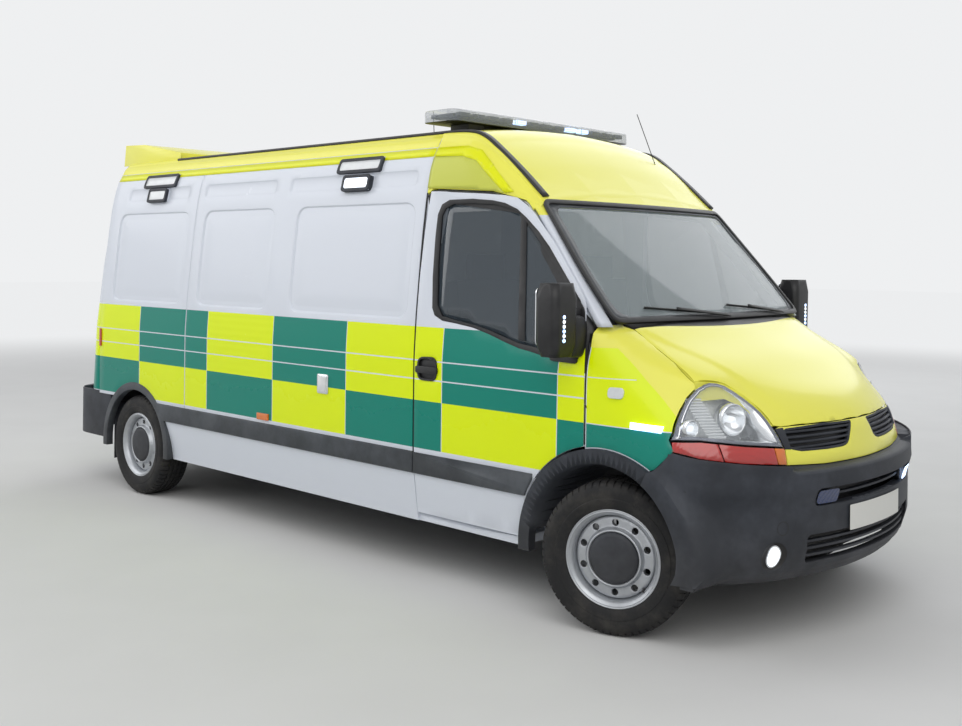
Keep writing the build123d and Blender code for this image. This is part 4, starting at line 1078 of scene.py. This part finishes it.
# Cab doors: livery skin, window seal, panes, divider, sail, handle
DOOR_EDGE = mm(-909, 2028, -1258, 2006, -1382, 1995, -1458, 1981, -1519, 1945, -1582, 1895, -1735, 1738)
DOOR_EDGE += mm(-1914, 1531, -1944, 1490, -1957, 1455, -1967, 1386, -1976, 1317, -1988, 1235, -1997, 1132)
DOOR_EDGE += mm(-1998, 832) + arc_points(FRONT_HUB, 0.498, 76, 1.5, 16)
DOOR_EDGE += mm(-888.5, 352, -888.5, 1576, -896, 1834)
SEAL = mm(-995, 1420, -979, 1578, -971, 1777, -971, 1905, -991, 1957, -1038, 1980, -1185, 1982, -1311, 1971)
SEAL += mm(-1389, 1956, -1468, 1924, -1530, 1881, -1615, 1812, -1691, 1738, -1781, 1636, -1858, 1551)
SEAL += mm(-1918, 1487, -1940, 1430, -1945, 1300, -1925, 1225, -1860, 1212, -1750, 1222, -1662, 1239)
SEAL += mm(-1593, 1249, -1493, 1276, -1390, 1307, -1286, 1332, -1180, 1346, -1073, 1357, -1016, 1382)
PANE = mm(-1029, 1437, -1008, 1658, -1000, 1897, -1020, 1936, -1071, 1957, -1189, 1958, -1334, 1949)
PANE += mm(-1431, 1924, -1495, 1900, -1782, 1607, -1855, 1523, -1870, 1420, -1862, 1270, -1800, 1250)
PANE += mm(-1700, 1258, -1581, 1274, -1490, 1298, -1388, 1326, -1284, 1347, -1178, 1361, -1070, 1380)
DIVIDER = mm(-1494, 1900, -1583, 1290, -1625, 1285, -1530, 1885)
SAIL = mm(-1790, 1205, -1950, 1200, -1968, 1385, -1950, 1452, -1870, 1530, -1795, 1470)
seal_loop = closed(SEAL, 0.03)
cup_loop = closed(rounded(mm(-1054, 1044, -912, 1044, -912, 1164, -1054, 1170), 0.045), 0.02)
door_loops = [closed(DOOR_EDGE, 0.05), shrunk(seal_loop, 0.004), cup_loop]
pair(laid("cab_door_skin_left", door_loops, "x", flank(), 0.055, "livery", 0.0025, 0.0012), "cab_door")
door_trim = [
    (0.0055, 0.05, "black", seal_loop, closed(PANE, 0.03)),
    (0.003, 0.05, "black", closed(DIVIDER, 0.05)),
    (0.012, 0.05, "black", closed(rounded(SAIL, 0.02, 4), 0.03)),
    (0.009, 0.03, "black", cup_loop, shrunk(cup_loop, 0.010)),
    (-0.004, 0.03, "black", shrunk(cup_loop, 0.004)),
    (0.013, 0.03, "black", box_loop(-1.060, -0.902, 1.081, 1.117, 0.012, 4)),
]
pair(on_side(door_trim, "cab_door_trim_left", 0.012, 0.003), "cab_door")
pane = laid("cab_door_glass_left", [shrunk(seal_loop, 0.010)], "x", flank(-0.003), 0.06, "glass", 0.004)
pair(pane, "cab_door", "door_glass")
# Black mirror and sail, grey moulding, black edge of the window opening
door_rules = [
    ("black", lambda x, y, z: x > 1.004 or (y < -1.80 and z > 1.18 and x > 0.9 and z < 1.46)),
    ("moulding", lambda x, y, z: 0.55 < z < 0.67 and x > 0.986),
    ("black", lambda x, y, z: z > 1.20 and side_x(y, z) - 0.004 < x < side_x(y, z) + 0.002),
]
for name in ("cab_door_left", "cab_door_right"):
    worn(name, "white", name, 0, door_rules)

# Mirror glass, and the column of small turned lamps on the casing's front
MIRROR_FACE, GLASS_FRONT, GLASS_BACK = box_loop(1.046, 1.172, 1.285, 1.548, 0.03), -1.868, -1.863
rings = [np.insert(MIRROR_FACE, 1, y, axis=1) for y in (GLASS_BACK, GLASS_FRONT)]
mirror = [tube("glass", rings, "chrome", False, False)]
mirror.append(link("cap", rings[0], [tuple(range(len(MIRROR_FACE)))], "chrome"))
for i in range(6):
    colour = "lit_white" if i in (1, 3, 4) else "lit_blue"
    led = [(0, 0.0095), (0.004, 0.008), (0.006, 0.0006)]
    mirror.append(lathe(led, (1.131, -1.996, 1.315 + 0.021 * i), (0, -1, 0), colour, 12))
pair(mend_normals(one("mirror_extras_left", mirror)), "cab_door")

# Bright stripes under the roof joint and round the cab roof's corner, and inside the curve a darker copy of
# the roof yellow: painted shade on the side of the cab roof
CURVE_OUT = mm(-884, 2265, -1089, 2265, -1185, 2237, -1302, 2129, -1427, 2012)
CURVE_IN = mm(-1375, 2007, -1289, 2079, -1171, 2182, -1076, 2210, -884, 2216)
shade_patch_loop = mm(-884, 2046, -884, 2214) + CURVE_IN[-2::-1] + mm(-1310, 2020, -1122, 2036)
stripes = [
    (0.0055, 0.06, "stripe", box_loop(-0.876, 2.470, 2.217, 2.264, 0.001, 1, 0.06)),
    (moved(cab_roof, 0.0075, 0, 0), 0.02, "stripe", closed(CURVE_OUT + CURVE_IN, 0.02)),
    (moved(cab_roof, 0.0070, 0, 0), 0.02, "olive", closed(shade_patch_loop, 0.02)),
]
pair(on_side(stripes, "stripes_left", 0.0008))

# Rubber strips along the roof, swept at the roof's height
ys = np.concatenate([np.linspace(1.803, -0.90, 20), np.linspace(-0.95, -1.575, 30)])
xs = np.interp(ys, (-1.575, -0.90), (0.762, 0.757))
zs = [2.352 if y > -0.9 else cab_roof([(x, y)], "z")[0][2] + 0.004 for x, y in zip(xs, ys)]
strip_section = box_section(0.042, 0.018, 0.45)
pair(swept(np.stack([xs, ys, zs], -1), strip_section, "black", name="roof_strip_left"))

# Wheels: tyres turned and cut into blocks, and dressed steel rims
JOINTS = {joint["name"]: joint for joint in frame["record"]["behaviour"]["joints"]}
GROOVES = (0.050, 0.017, -0.017, -0.050)
BLOCKS = 60
WALL = mm(90, 215.5, 98, 221, 103, 230, 105.5, 233, 108.5, 247, 112, 262, 112.5, 268, 110.5, 271, 112.5, 288)
WALL += mm(110.5, 303, 106.5, 318, 104.5, 320, 103, 327, 96, 335, 86, 341, 78, 344)
# Steel wheel face: dished disc with ten round vents and a double lip, radius against distance out
RIM_FACE = mm(112, 71, 116, 80, 121, 86.5, 127, 85, 132, 70, 138, 62, 176, 61, 183, 56, 187, 44, 194, 44)
RIM_FACE += mm(198, 64, 202, 80, 207, 87, 211, 88, 214, 98, 218.5, 100.5, 222.5, 97)
VENT_AT, VENT_RADIUS = 0.156, 0.0158
CAP = mm(60, 116, 80, 115.5, 88, 111, 92.5, 96, 94.5, 60, 96.5, 0.6)
VALVE = mm(0, 6, 22, 5.5, 24, 4, 34, 4, 35, 0.6)


def tyre(corner, centre, way):
    """The tyre's section, (along the axle, radius, groove depth) from bead to bead, carried round the axle.
    Between blocks the ribs drop by 2.2 mm and the shoulders by 5.5 mm."""
    rows = [(along, radius, 0.0) for along, radius in WALL]
    for groove in GROOVES:
        edges = ((0.0052, 0), (0.0042, 0.007), (-0.0042, 0.007), (-0.0052, 0))
        rows += [(groove + off, 0.3445, depth) for off, depth in edges]
    rows += [(-along, radius, 0.0) for along, radius in WALL[::-1]]
    rows += [(-0.080, 0.2025, 0.0), (0.080, 0.2025, 0.0)]
    steps = np.cumsum([0.0, 0.76, 0.03, 0.18])
    phases = np.concatenate([(i + steps) / BLOCKS for i in range(BLOCKS)]) * 2 * math.pi
    cut = np.tile([0, 0, 1, 1], BLOCKS)
    verts = []
    for along, radius, depth in rows:
        shoulder = 0.0055 * (abs(along) > 0.053) * (radius > 0.325)
        rib = 0.0022 * (abs(along) <= 0.053) * (radius > 0.34)
        r = radius - np.maximum(depth, cut * (shoulder + rib))
        swing = phases + 0.010 * np.sign(along) * (abs(along) < 0.053)
        verts.append(np.stack([r * np.cos(swing), r * np.sin(swing), np.full(len(r), along)], -1))
    turn = np.array(Vector((0, 0, 1)).rotation_difference(way).to_matrix())
    verts = np.concatenate(verts) @ turn.T + np.array(centre)
    faces = grid_faces(len(rows) + 1, len(phases), True) % (len(rows) * len(phases))
    piece = mend_normals(link(f"tyre_skin_{corner}", verts, faces, "tyre"))
    piece.data.set_sharp_from_angle(angle=math.radians(38))
    return piece


def wheel_dress(corner, centre, way):
    """Turned cap and valve."""
    valve = Vector(centre) + way.orthogonal().normalized() * 0.186 + way * 0.055
    made = [lathe(CAP, centre, way, "bumper", 48), lathe(VALVE, valve, way, "black", 12)]
    return one(f"wheel_dress_{corner}", made)


def rim_face(corner, centre, way):
    """A ring with ten vents, whose distance out follows its profile by the distance from the axle."""
    up = Vector((0, 0, 1))
    basis = np.array([up.cross(way), up, way])
    loops = [oval(0, 0, r, r, 120) for r in (0.2225, 0.112)]
    for angle in np.radians(36 * np.arange(10)):
        x, z = VENT_AT * math.sin(angle), VENT_AT * math.cos(angle)
        loops.append(oval(x, z, VENT_RADIUS, VENT_RADIUS, 20))
    rounds = [oval(0, 0, r, r, 120) for r, _ in RIM_FACE[1:-1] if not 0.138 < r < 0.176]
    verts, faces = triangulated(loops, 0.012, rounds)
    spots = np.c_[verts, np.interp(np.hypot(*verts.T), *np.array(RIM_FACE).T)] @ basis + np.array(centre)
    piece = mend_normals(link(f"rim_face_{corner}", spots, faces, "wheel"))
    if sum((np.array(f.normal) @ np.array(way)) * f.area for f in piece.data.polygons) < 0:
        piece.data.flip_normals()
    return shell(piece, 0.004, 0.0012)


for corner in CORNERS:
    name = f"wheel_{corner}"
    joint = JOINTS[f"{name}_spin"]
    way = Vector(joint["axis"]).normalized() * (1 if "left" in name else -1)
    settle(tyre(corner, joint["pos_m"], way), name, f"tyre_{corner}")
    settle(wheel_dress(corner, joint["pos_m"], way), name)
    worn(f"rim_{corner}", "wheel", name, 0)
    settle(rim_face(corner, joint["pos_m"], way), name)

# Side lamps: lens in a dark bezel, y from, y to, z from, z to, how far the CAD lamp stands out
LAMPS = [(1.64, 2.05, 2.155, 2.240, 0.016), (-0.48, -0.11, 2.160, 2.240, 0.016)]
LAMPS.append((1.72, 1.95, 2.052, 2.140, 0.026))
rows = []
for y0, y1, z0, z1, out in LAMPS:
    outer = box_loop(y0 - 0.004, y1 + 0.004, z0 - 0.004, z1 + 0.004, 0.018, 5)
    inner = box_loop(y0 + 0.014, y1 - 0.014, z0 + 0.014, z1 - 0.014, 0.014, 5)
    rows += [(out + 0.006, 0.04, "bumper", outer, inner), (out + 0.003, 0.04, "lampglass", inner)]
pair(on_side(rows, "side_lamps_left", 0.020, 0.003))
outer = box_loop(-0.424, -0.186, 2.051, 2.144, 0.022, 5)
inner = box_loop(-0.405, -0.205, 2.069, 2.126, 0.016, 5)
rows = [(0.032, 0.04, "bumper", outer, inner), (0.030, 0.04, "lit_white", inner)]
only_right(on_side(rows, "pod_front_right", 0.030, 0.003))

# Small things on the sides: socket cover, markers, wing lamps
socket_loop = box_loop(-0.183, -0.085, 0.900, 1.010, 0.012, 5)
rows = [(0.012, 0.04, "chrome", socket_loop), (0.018, 0.04, "lining", shrunk(socket_loop, 0.014))]
only_right(on_side(rows, "socket_cover", 0.012, 0.003))
wing_lamp = closed(mm(-2254, 968, -2254, 938, -2396, 933, -2402, 962), 0.02)
side_details = [
    (0.014, 0.04, "amber", box_loop(0.386, 0.499, 0.688, 0.728, 0.004, 3)),
    (0.012, 0.04, "red", box_loop(2.452, 2.476, 1.012, 1.138, 0.004, 3)),
    (moved(nose, 0.010, 0, 0), 0.03, "lit_blue", wing_lamp),
    (moved(nose, 0.013, 0, 0), 0.03, "lit_white", shrunk(wing_lamp, 0.008)),
    (moved(nose, 0.012, 0, 0), 0.03, "lampglass", box_loop(-2.205, -2.131, 1.063, 1.111, 0.018, 5)),
]
pair(on_side(side_details, "side_details_left", 0.012, 0.002))

# Black strips fore and aft of the cab door, under the edges of the skins: painted shadow seen through the
# gaps
gaps = ((-0.8880, -0.8765, 0.660, 2.020), (-2.0080, -1.9990, 0.840, 1.300))
pair(on_side([(0.0014, 0.05, "black", box_loop(*gap, 0.001, 1)) for gap in gaps], "door_shuts_left", 0.0008))

# Light bar: clear lens over two rows of lamp blocks, some of the front ones lit, with a spine between
worn("light_bar", "barlens", rules=[("black", lambda x, y, z: z < 2.4365)])
LIT_BLOCKS = (4, 8, 9)
bar = []
for i in range(13):
    x = -0.690 + 0.115 * i
    for y, lit in ((-0.944, i in LIT_BLOCKS), (-0.755, False)):
        colour = "lit_blue" if lit else "bezel"
        bar.append(slab_box("block", x - 0.040, x + 0.040, y, y + 0.039, 2.440, 2.464, colour))
bar.append(slab_box("spine", -0.730, 0.730, -0.890, -0.770, 2.437, 2.462, "black"))
settle(soften(one("light_bar_blocks", bar), 0.004, 3))

# Sliding door on the left: its parting line, the rail cover behind it and the handle
slide_loop = box_loop(*SLIDING_DOOR, 0.020)
slide = [
    (0.0046, 0.05, "black", slide_loop, shrunk(slide_loop, 0.005)),
    (0.0095, 0.05, "black", box_loop(0.470, 1.700, 1.222, 1.252, 0.006, 3)),
    (0.020, 0.03, "black", box_loop(-0.700, -0.590, 1.055, 1.105, 0.018, 5)),
]
settle(on_side(slide, "sliding_door_lines", 0.0010))


# Structure under the skins, with softened edges; the front bumper loses its plate block
def behind_plate(face):
    """Whether a face belongs to the block that carries the plate."""
    x, y, z = face.calc_center_median()
    return abs(x) < 0.262 and y < -2.889 and 0.489 < z < 0.605


def off_plate(mesh):
    gone = [face for face in mesh.faces if behind_plate(face)]
    bmesh.ops.delete(mesh, geom=gone, context="FACES")


edited(worn("front_bumper", "bumper", "body", 0).data, off_plate)
worn("floor", "floor", "body", 0, [("white", lambda x, y, z: x > 0.70 and y < -0.88 and z < 0.57)])
worn("bulkhead", "lining", "body", 0)
SOFTENED = dict(rear_bumper="bumper", moulding_left="moulding", moulding_right="moulding")
SOFTENED.update(rear_fairing="yellow", seats="seat", dashboard="dash", engine="engine")
SOFTENED.update(subframe="chassis", rear_axle="chassis")
for node, material in SOFTENED.items():
    worn(node, material, "body", 0.003)
for side in ("left", "right"):
    worn(f"knuckle_{side}", "chassis", f"steer_{side}")


# Front bumper face: a sheet over the distance round the plan and the height
def arc_through(a, b, c, count):
    """Points of the arc through three plan points."""
    a, b, c = (np.array(p, float) for p in (a, b, c))
    middle = np.linalg.solve(np.array([b - a, c - a]) * 2, np.array([b @ b - a @ a, c @ c - a @ a]))
    start, stop = (math.atan2(*(p - middle)[::-1]) for p in (a, c))
    angles = np.linspace(start, stop, count)
    return middle + np.linalg.norm(a - middle) * np.stack([np.cos(angles), np.sin(angles)], -1)


front_arc = arc_through((0, -2.9495), (0.310, -2.924), (0.600, -2.845), 60)
corner_arc = arc_through((0.600, -2.845), (0.850, -2.694), (0.961, -2.525), 60)
PLAN = np.concatenate([front_arc[:-1], corner_arc, [(0.985, -2.300)]])
ROUND = np.concatenate([[0], np.cumsum(np.linalg.norm(np.diff(PLAN, axis=0), axis=1))])
OUT = np.stack([np.gradient(PLAN[:, 1], ROUND), -np.gradient(PLAN[:, 0], ROUND)], -1)
# How far the face stands back from the plan, against height; and the shelf under the grille panel
FACE = ((0.300, 0.350, 0.440, 0.640, 0.700, 0.745, 0.880), (0.090, 0.044, 0.018, 0.018, 0.0, 0.004, 0.004))
SHELF = ((0.745, 0.766, 0.775, 0.780, 0.784), (0.004, 0.005, 0.013, 0.030, 0.062))


def bumper(lift=0.004):
    """The bumper face as a form: its plan stood back by height, and swelling out to the wheel arch trim by
    a smooth step of the distance from the arch."""

    def place(flat, axis):
        side, s, z = np.sign(flat[:, 0] + 1e-9), np.abs(flat[:, 0]), flat[:, 1]
        x, y, out_x, out_y = (np.interp(s, ROUND, column) for column in (*PLAN.T, *OUT.T))
        inset = sum(np.interp(z + step, *FACE) for step in (-0.008, 0, 0.008)) / 3
        under = (z > 0.745) * (1 - np.clip((s - 0.585) / 0.05, 0, 1))
        inset = inset + (np.interp(z, *SHELF) - inset) * under
        share = np.clip((-2.300 - y) / 0.400, 0, 1)
        x = x * (1 - 0.4 * inset / 0.985) + out_x * lift
        y = y + inset * share + out_y * lift
        reach = np.interp(z, (0.45, 0.70), (0.135, 0.05))
        near = 1 - smooth((np.hypot(y - FRONT_AXLE, z - HUB_Z) - 0.487) / reach)
        x = x + (1.0008 + lift - x) * near * (s > 0.9)
        return np.stack([side * x, y, z], -1)

    return place


def round_at(y, z):
    """A side point as distance round the plan and height."""
    return float(np.interp(y, PLAN[:, 1], ROUND)), z


face_half = mm(0, 320, 400, 322, 800, 322, 1000, 316)
face_half += [round_at(*spot) for spot in arc_points(FRONT_HUB, 0.4205, 185, 121, 20)]
face_half += [round_at(*arc_points(FRONT_HUB, 0.484, 120.5, 120.5, 1)[0])]
face_half += mm(1259, 772, 1217, 816, 1177, 857, 1055, 841, 868, 825, 660, 808, 636, 805, 604, 790, 585, 784)
face_half += [(0.0, 0.784)]
FOG_S, FOG_Z = 0.709, 0.425
face_loops = [closed(face_half + [(-s, z) for s, z in face_half[::-1][1:-1]], 0.03)]
face_loops += [box_loop(-0.490, 0.490, 0.620, 0.700, 0.030, 6, 0.04)]
face_loops += [box_loop(-0.533, 0.533, 0.376, 0.502, 0.030, 6, 0.04)]
face_loops += [oval(side * FOG_S, FOG_Z, 0.064, 0.064) for side in (1, -1)]
levels = ((0.748, 0.766), (0.7705, 0.7755), (0.779, 0.7815))
rings = [box_loop(-0.60, 0.60, low, high, 0.002, 1, 0.04) for low, high in levels]
rings.append(box_loop(-1.10, 1.10, 0.705, 0.735, 0.004, 1))
face = laid("bumper_face", face_loops, "y", bumper(), 0.035, "bumper", 0.006, 0.003, rings)
settle(mend_normals(face))

# Cap, sensors, fog lamps, slot lamps and the blank plate, all on the same sheet
bits = []
for side in (1, -1):
    s, z = side * FOG_S, FOG_Z
    cone = ((0.003, 0.066, 0.066), (-0.008, 0.050, 0.056), (-0.010, 0.034, 0.047))
    cone = [bumper(lift)(oval(s, z, *radii), "y") for lift, *radii in cone]
    lamp_loop = box_loop(side * 0.414 - 0.068, side * 0.414 + 0.068, 0.630, 0.690, 0.020, 6, 0.02)
    fittings = [
        (-0.003, 0.03, "chrome", oval(s, z, 0.037, 0.050), oval(s, z, 0.030, 0.043)),
        (-0.002, 0.02, "lit_white", oval(s, z, 0.031, 0.044)),
        (0.0055, 0.02, "black", oval(side * 1.118, 0.693, 0.0125, 0.0125, 20)),
        (0.006, 0.02, "lit_blue" if side > 0 else "blue", lamp_loop),
    ]
    if side < 0:
        groove = [oval(-0.672, 0.545, radius, radius) for radius in (0.0305, 0.0270)]
        fittings.append((0.0046, 0.02, "black", *groove))
        fittings.append((0.012, 0.05, "plate", box_loop(-0.260, 0.260, 0.491, 0.603, 0.006, 3, 0.04)))
    bits.append(link("pocket", np.concatenate(cone), grid_faces(3, 36, True), "black"))
    for lift, step, colour, *loops in fittings:
        bits.append(laid("fitting", loops, "y", bumper(lift), step, colour))
settle(mend_normals(one("bumper_fittings", bits)))
backing = slab_box("bumper_backing", -0.580, 0.580, -2.800, -2.792, 0.370, 0.715, "black")
settle(soften(backing, 0.003, 3))

# Trim between the lamp and the grille
corner_loop = closed(mm(540, 953.5, 583, 951.5, 576, 905, 569, 866, 538, 864), 0.02)
trim = laid("lamp_corner_left", [corner_loop], "y", moved(nose, 0, -0.0025, 0), 0.02, "bumper", 0.008, 0.002)
pair(trim)

# Load space roof: a half section, mirrored and carried along y. Across its middle run swages, a sine of y
# three times too high and cut flat, which fade out over 60 mm at their ends
SWAGE_HIGH, SWAGE_EVERY, SWAGED_HALF = 0.004, 0.42, 0.62
roof_half = [(float(side_x(0.0, np.array(z))) + 0.004, z) for z in (2.268, 2.282, 2.296)]
roof_half += mm(801, 2318, 782, 2335, 748, 2354.5, 600, 2374.5, 400, 2394.5, 200, 2405.5, 0, 2409.5)
fine_half = cubic(roof_half, np.linspace(0, len(roof_half) - 1, 60))
x, z = np.concatenate([fine_half, (fine_half * (-1, 1))[-2::-1]]).T
ys = np.linspace(FLANK_FORE, FLANK_AFT, 170)[:, None]
swage = SWAGE_HIGH * np.clip(np.sin(ys * 2 * math.pi / SWAGE_EVERY) * 3, -1, 1)
rise = (swage + SWAGE_HIGH) * np.clip((SWAGED_HALF - np.abs(x)) / 0.06, 0, 1) * 0.5
spots = np.stack(np.broadcast_arrays(x, ys, z + rise), -1)
load_roof = link("load_roof_skin", spots.reshape(-1, 3), grid_faces(*spots.shape[:2]), "yellow")
if sum(f.normal.z for f in load_roof.data.polygons) < 0:
    load_roof.data.flip_normals()
settle(shell(load_roof, 0.003, 0.001))


# Wipers on the glass, and short aerials on the roof
def wiper(name, start, stop):
    """A blade swept along a line on the glass, and an arm above it that starts lower."""
    line, up = line_between(start, stop, 24), (0, -0.76, 0.65)
    arm_line = line[:16] + (0, -0.012) * np.linspace(1, 0, 16)[:, None]
    blade = swept(screen(0.010)(line, "y"), box_section(0.006, 0.014, 0.4), "black", up)
    arm = swept(screen(0.022)(arm_line, "y"), box_section(0.016, 0.008, 0.4), "black", up)
    settle(one(name, [blade, arm]))


def aerial(name, base, tip):
    """A thin straight whip on a turned foot."""
    whip = swept(line_between(base, tip, 10), oval(0, 0, 0.0025, 0.0025, 10), "black", (1, 0, 0))
    foot = lathe(mm(-10, 26, 8, 22, 18, 10, 30, 0.6), base, (0, 0, 1), "black", 20)
    settle(one(name, [whip, foot]))


wiper("wiper_driver", (-0.02, 1.402), (-0.63, 1.446))
wiper("wiper_passenger", (0.60, 1.402), (0.04, 1.446))
aerial("aerial_front", (0.560, -1.330, 2.205), (0.555, -1.180, 2.560))
aerial("aerial_rear", (-0.30, -0.30, 2.400), (-0.30, -0.29, 2.565))

# Mirror foot: a rounded lobe between the casing and the sail, a spline through ovals by height
FOOT = ((1.232, 0.030, 0.022), (1.245, 0.058, 0.036), (1.29, 0.078, 0.045), (1.36, 0.080, 0.046))
FOOT += ((1.405, 0.062, 0.038), (1.422, 0.030, 0.022))
rings = [np.c_[oval(0.995, -1.945, wide, deep, 32), np.full(32, z)] for z, wide, deep in FOOT]
foot = cubic(rings, np.linspace(0, len(rings) - 1, 20))
pair(tube("mirror_foot_left", foot, "black"), "cab_door")

# Rear: lamps, glass, a handle and a blank plate
lamp_rules = [("tail", lambda x, y, z: 0.811 < x < 0.937 and 0.799 < z < 1.191 and y > 2.60)]
glass_rules = [("glass", lambda x, y, z: 0.149 < x < 0.641 and 1.419 < z < 1.961)]
worn("rear_frame", "livery", "body", 0, lamp_rules)
for side in ("left", "right"):
    worn(f"rear_door_{side}", "livery", f"rear_door_{side}", 0, glass_rules)


# How far back the vehicle's leaning back is, against height
BACK_LEAN = ((0.250, 1.160, 1.600, 2.030), (2.848, 2.771, 2.734, 2.698))


def rear_pad(name, x0, x1, z0, z1, out, rounding, material, rider):
    """A rounded pad on the leaning back: a box whose every point moves back by the lean at its height."""
    pad = slab_box(name, x0, x1, -0.002, out, z0, z1, material)
    reshaped(pad.data, lambda spots: spots + np.interp(spots[:, 2:], *BACK_LEAN) * (0, 1, 0))
    settle(soften(pad, rounding, 3), rider)


rear_pad("rear_handle", -0.130, -0.050, 1.030, 1.170, 0.022, 0.006, "black", "rear_door_right")
rear_pad("rear_plate", 0.080, 0.600, 0.812, 0.922, 0.006, 0.002, "plate", "rear_door_left")


# Stage and camera
def stage_floor():
    """A large pale plane under the wheels, fading by distance squared into the backdrop's own light."""
    tree = Tree(bpy.data.materials.new("studio_floor"))
    at, x, y, _ = tree.place()
    far, black = (x * x + y * y).ramp(25.0, 330.0), (0.0, 0.0, 0.0)
    near = tree.mix(tree.noise(at, 1.5), (0.72, 0.72, 0.71), (0.78, 0.78, 0.77))
    tree.set(Base_Color=tree.mix(far, near, black), Specular_IOR_Level=0.0, Roughness=0.85)
    tree.set(Emission_Color=tree.mix(far, black, (0.84, 0.85, 0.86)), Emission_Strength=1.0)
    reach = 60.0
    corners = [(-reach, -reach, 0), (reach, -reach, 0), (reach, reach, 0), (-reach, reach, 0)]
    link("studio_floor", corners, [(0, 1, 2, 3)], tree.owner)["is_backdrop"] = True


def photo_camera():
    """Looks as the photograph's lens did: a level view with the frame shifted down."""
    ahead = Vector((math.sin(YAW) * math.cos(PITCH), math.cos(YAW) * math.cos(PITCH), math.sin(PITCH)))
    right = Vector((math.cos(YAW), -math.sin(YAW), 0))
    up = right.cross(ahead)
    across = right * math.cos(ROLL) + up * math.sin(ROLL)
    over = up * math.cos(ROLL) - right * math.sin(ROLL)
    data = bpy.data.cameras.new("photo_camera")
    data.sensor_width, data.clip_end = SENSOR, 200.0
    data.lens = FOCAL_PX * SENSOR / PHOTO_WIDE
    data.shift_y = (HORIZON_PX - PHOTO_HIGH / 2) / PHOTO_WIDE
    camera = placed("photo_camera", data)
    camera.matrix_world = Matrix.Translation(EYE) @ Matrix((across, over, -ahead)).transposed().to_4x4()
    bpy.context.scene.camera = camera


def studio_light():
    """Soft sky, paler upward; a plain backdrop for camera, glossy and transmission rays; a broad key lamp
    from the camera's side, and weaker ones beside and behind."""
    tree = Tree(bpy.data.worlds.new("studio_sky"))
    bpy.context.scene.world = tree.owner
    stops = [(0.0, (0.30, 0.30, 0.31)), (0.75, (0.95, 0.97, 1.0))]
    colour = tree.node("ShaderNodeValToRGB", {"stops": stops}, [tree.place("Generated")[3]])
    sky = tree.node("ShaderNodeBackground", None, [colour, 0.46])
    backdrop = tree.node("ShaderNodeBackground", None, [(0.86, 0.87, 0.88), 1.0])
    rays = ("Is Camera Ray", "Is Glossy Ray", "Is Transmission Ray")
    camera, glossy, through = (tree.node("ShaderNodeLightPath", output=ray) for ray in rays)
    shown = tree.node("ShaderNodeMixShader", None, [camera.larger(glossy).larger(through), sky, backdrop])
    tree.feed(tree.nodes["World Output"].inputs[0], shown)
    lamps = (
        ("key_lamp", (-8.0, -8.0, 9.5), 14.0, 840, (1.0, 0.99, 0.97)),
        ("fill_lamp", (9.0, 2.0, 8.0), 12.0, 420, (0.95, 0.97, 1.0)),
        ("back_lamp", (-7.5, 9.0, 7.0), 10.0, 420, (1.0, 1.0, 1.0)),
    )
    for name, at, size, watts, colour in lamps:
        data = bpy.data.lights.new(name, "AREA")
        data.shape, data.size, data.energy, data.color = "DISK", size, watts, colour
        lamp = placed(name, data)
        lamp.location = at
        lamp.rotation_euler = (Vector((0, 0, 1.0)) - Vector(at)).to_track_quat("-Z", "Y").to_euler()


stage_floor()
photo_camera()
studio_light()
bpy.context.scene.view_settings.view_transform = "Standard"

low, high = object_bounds()
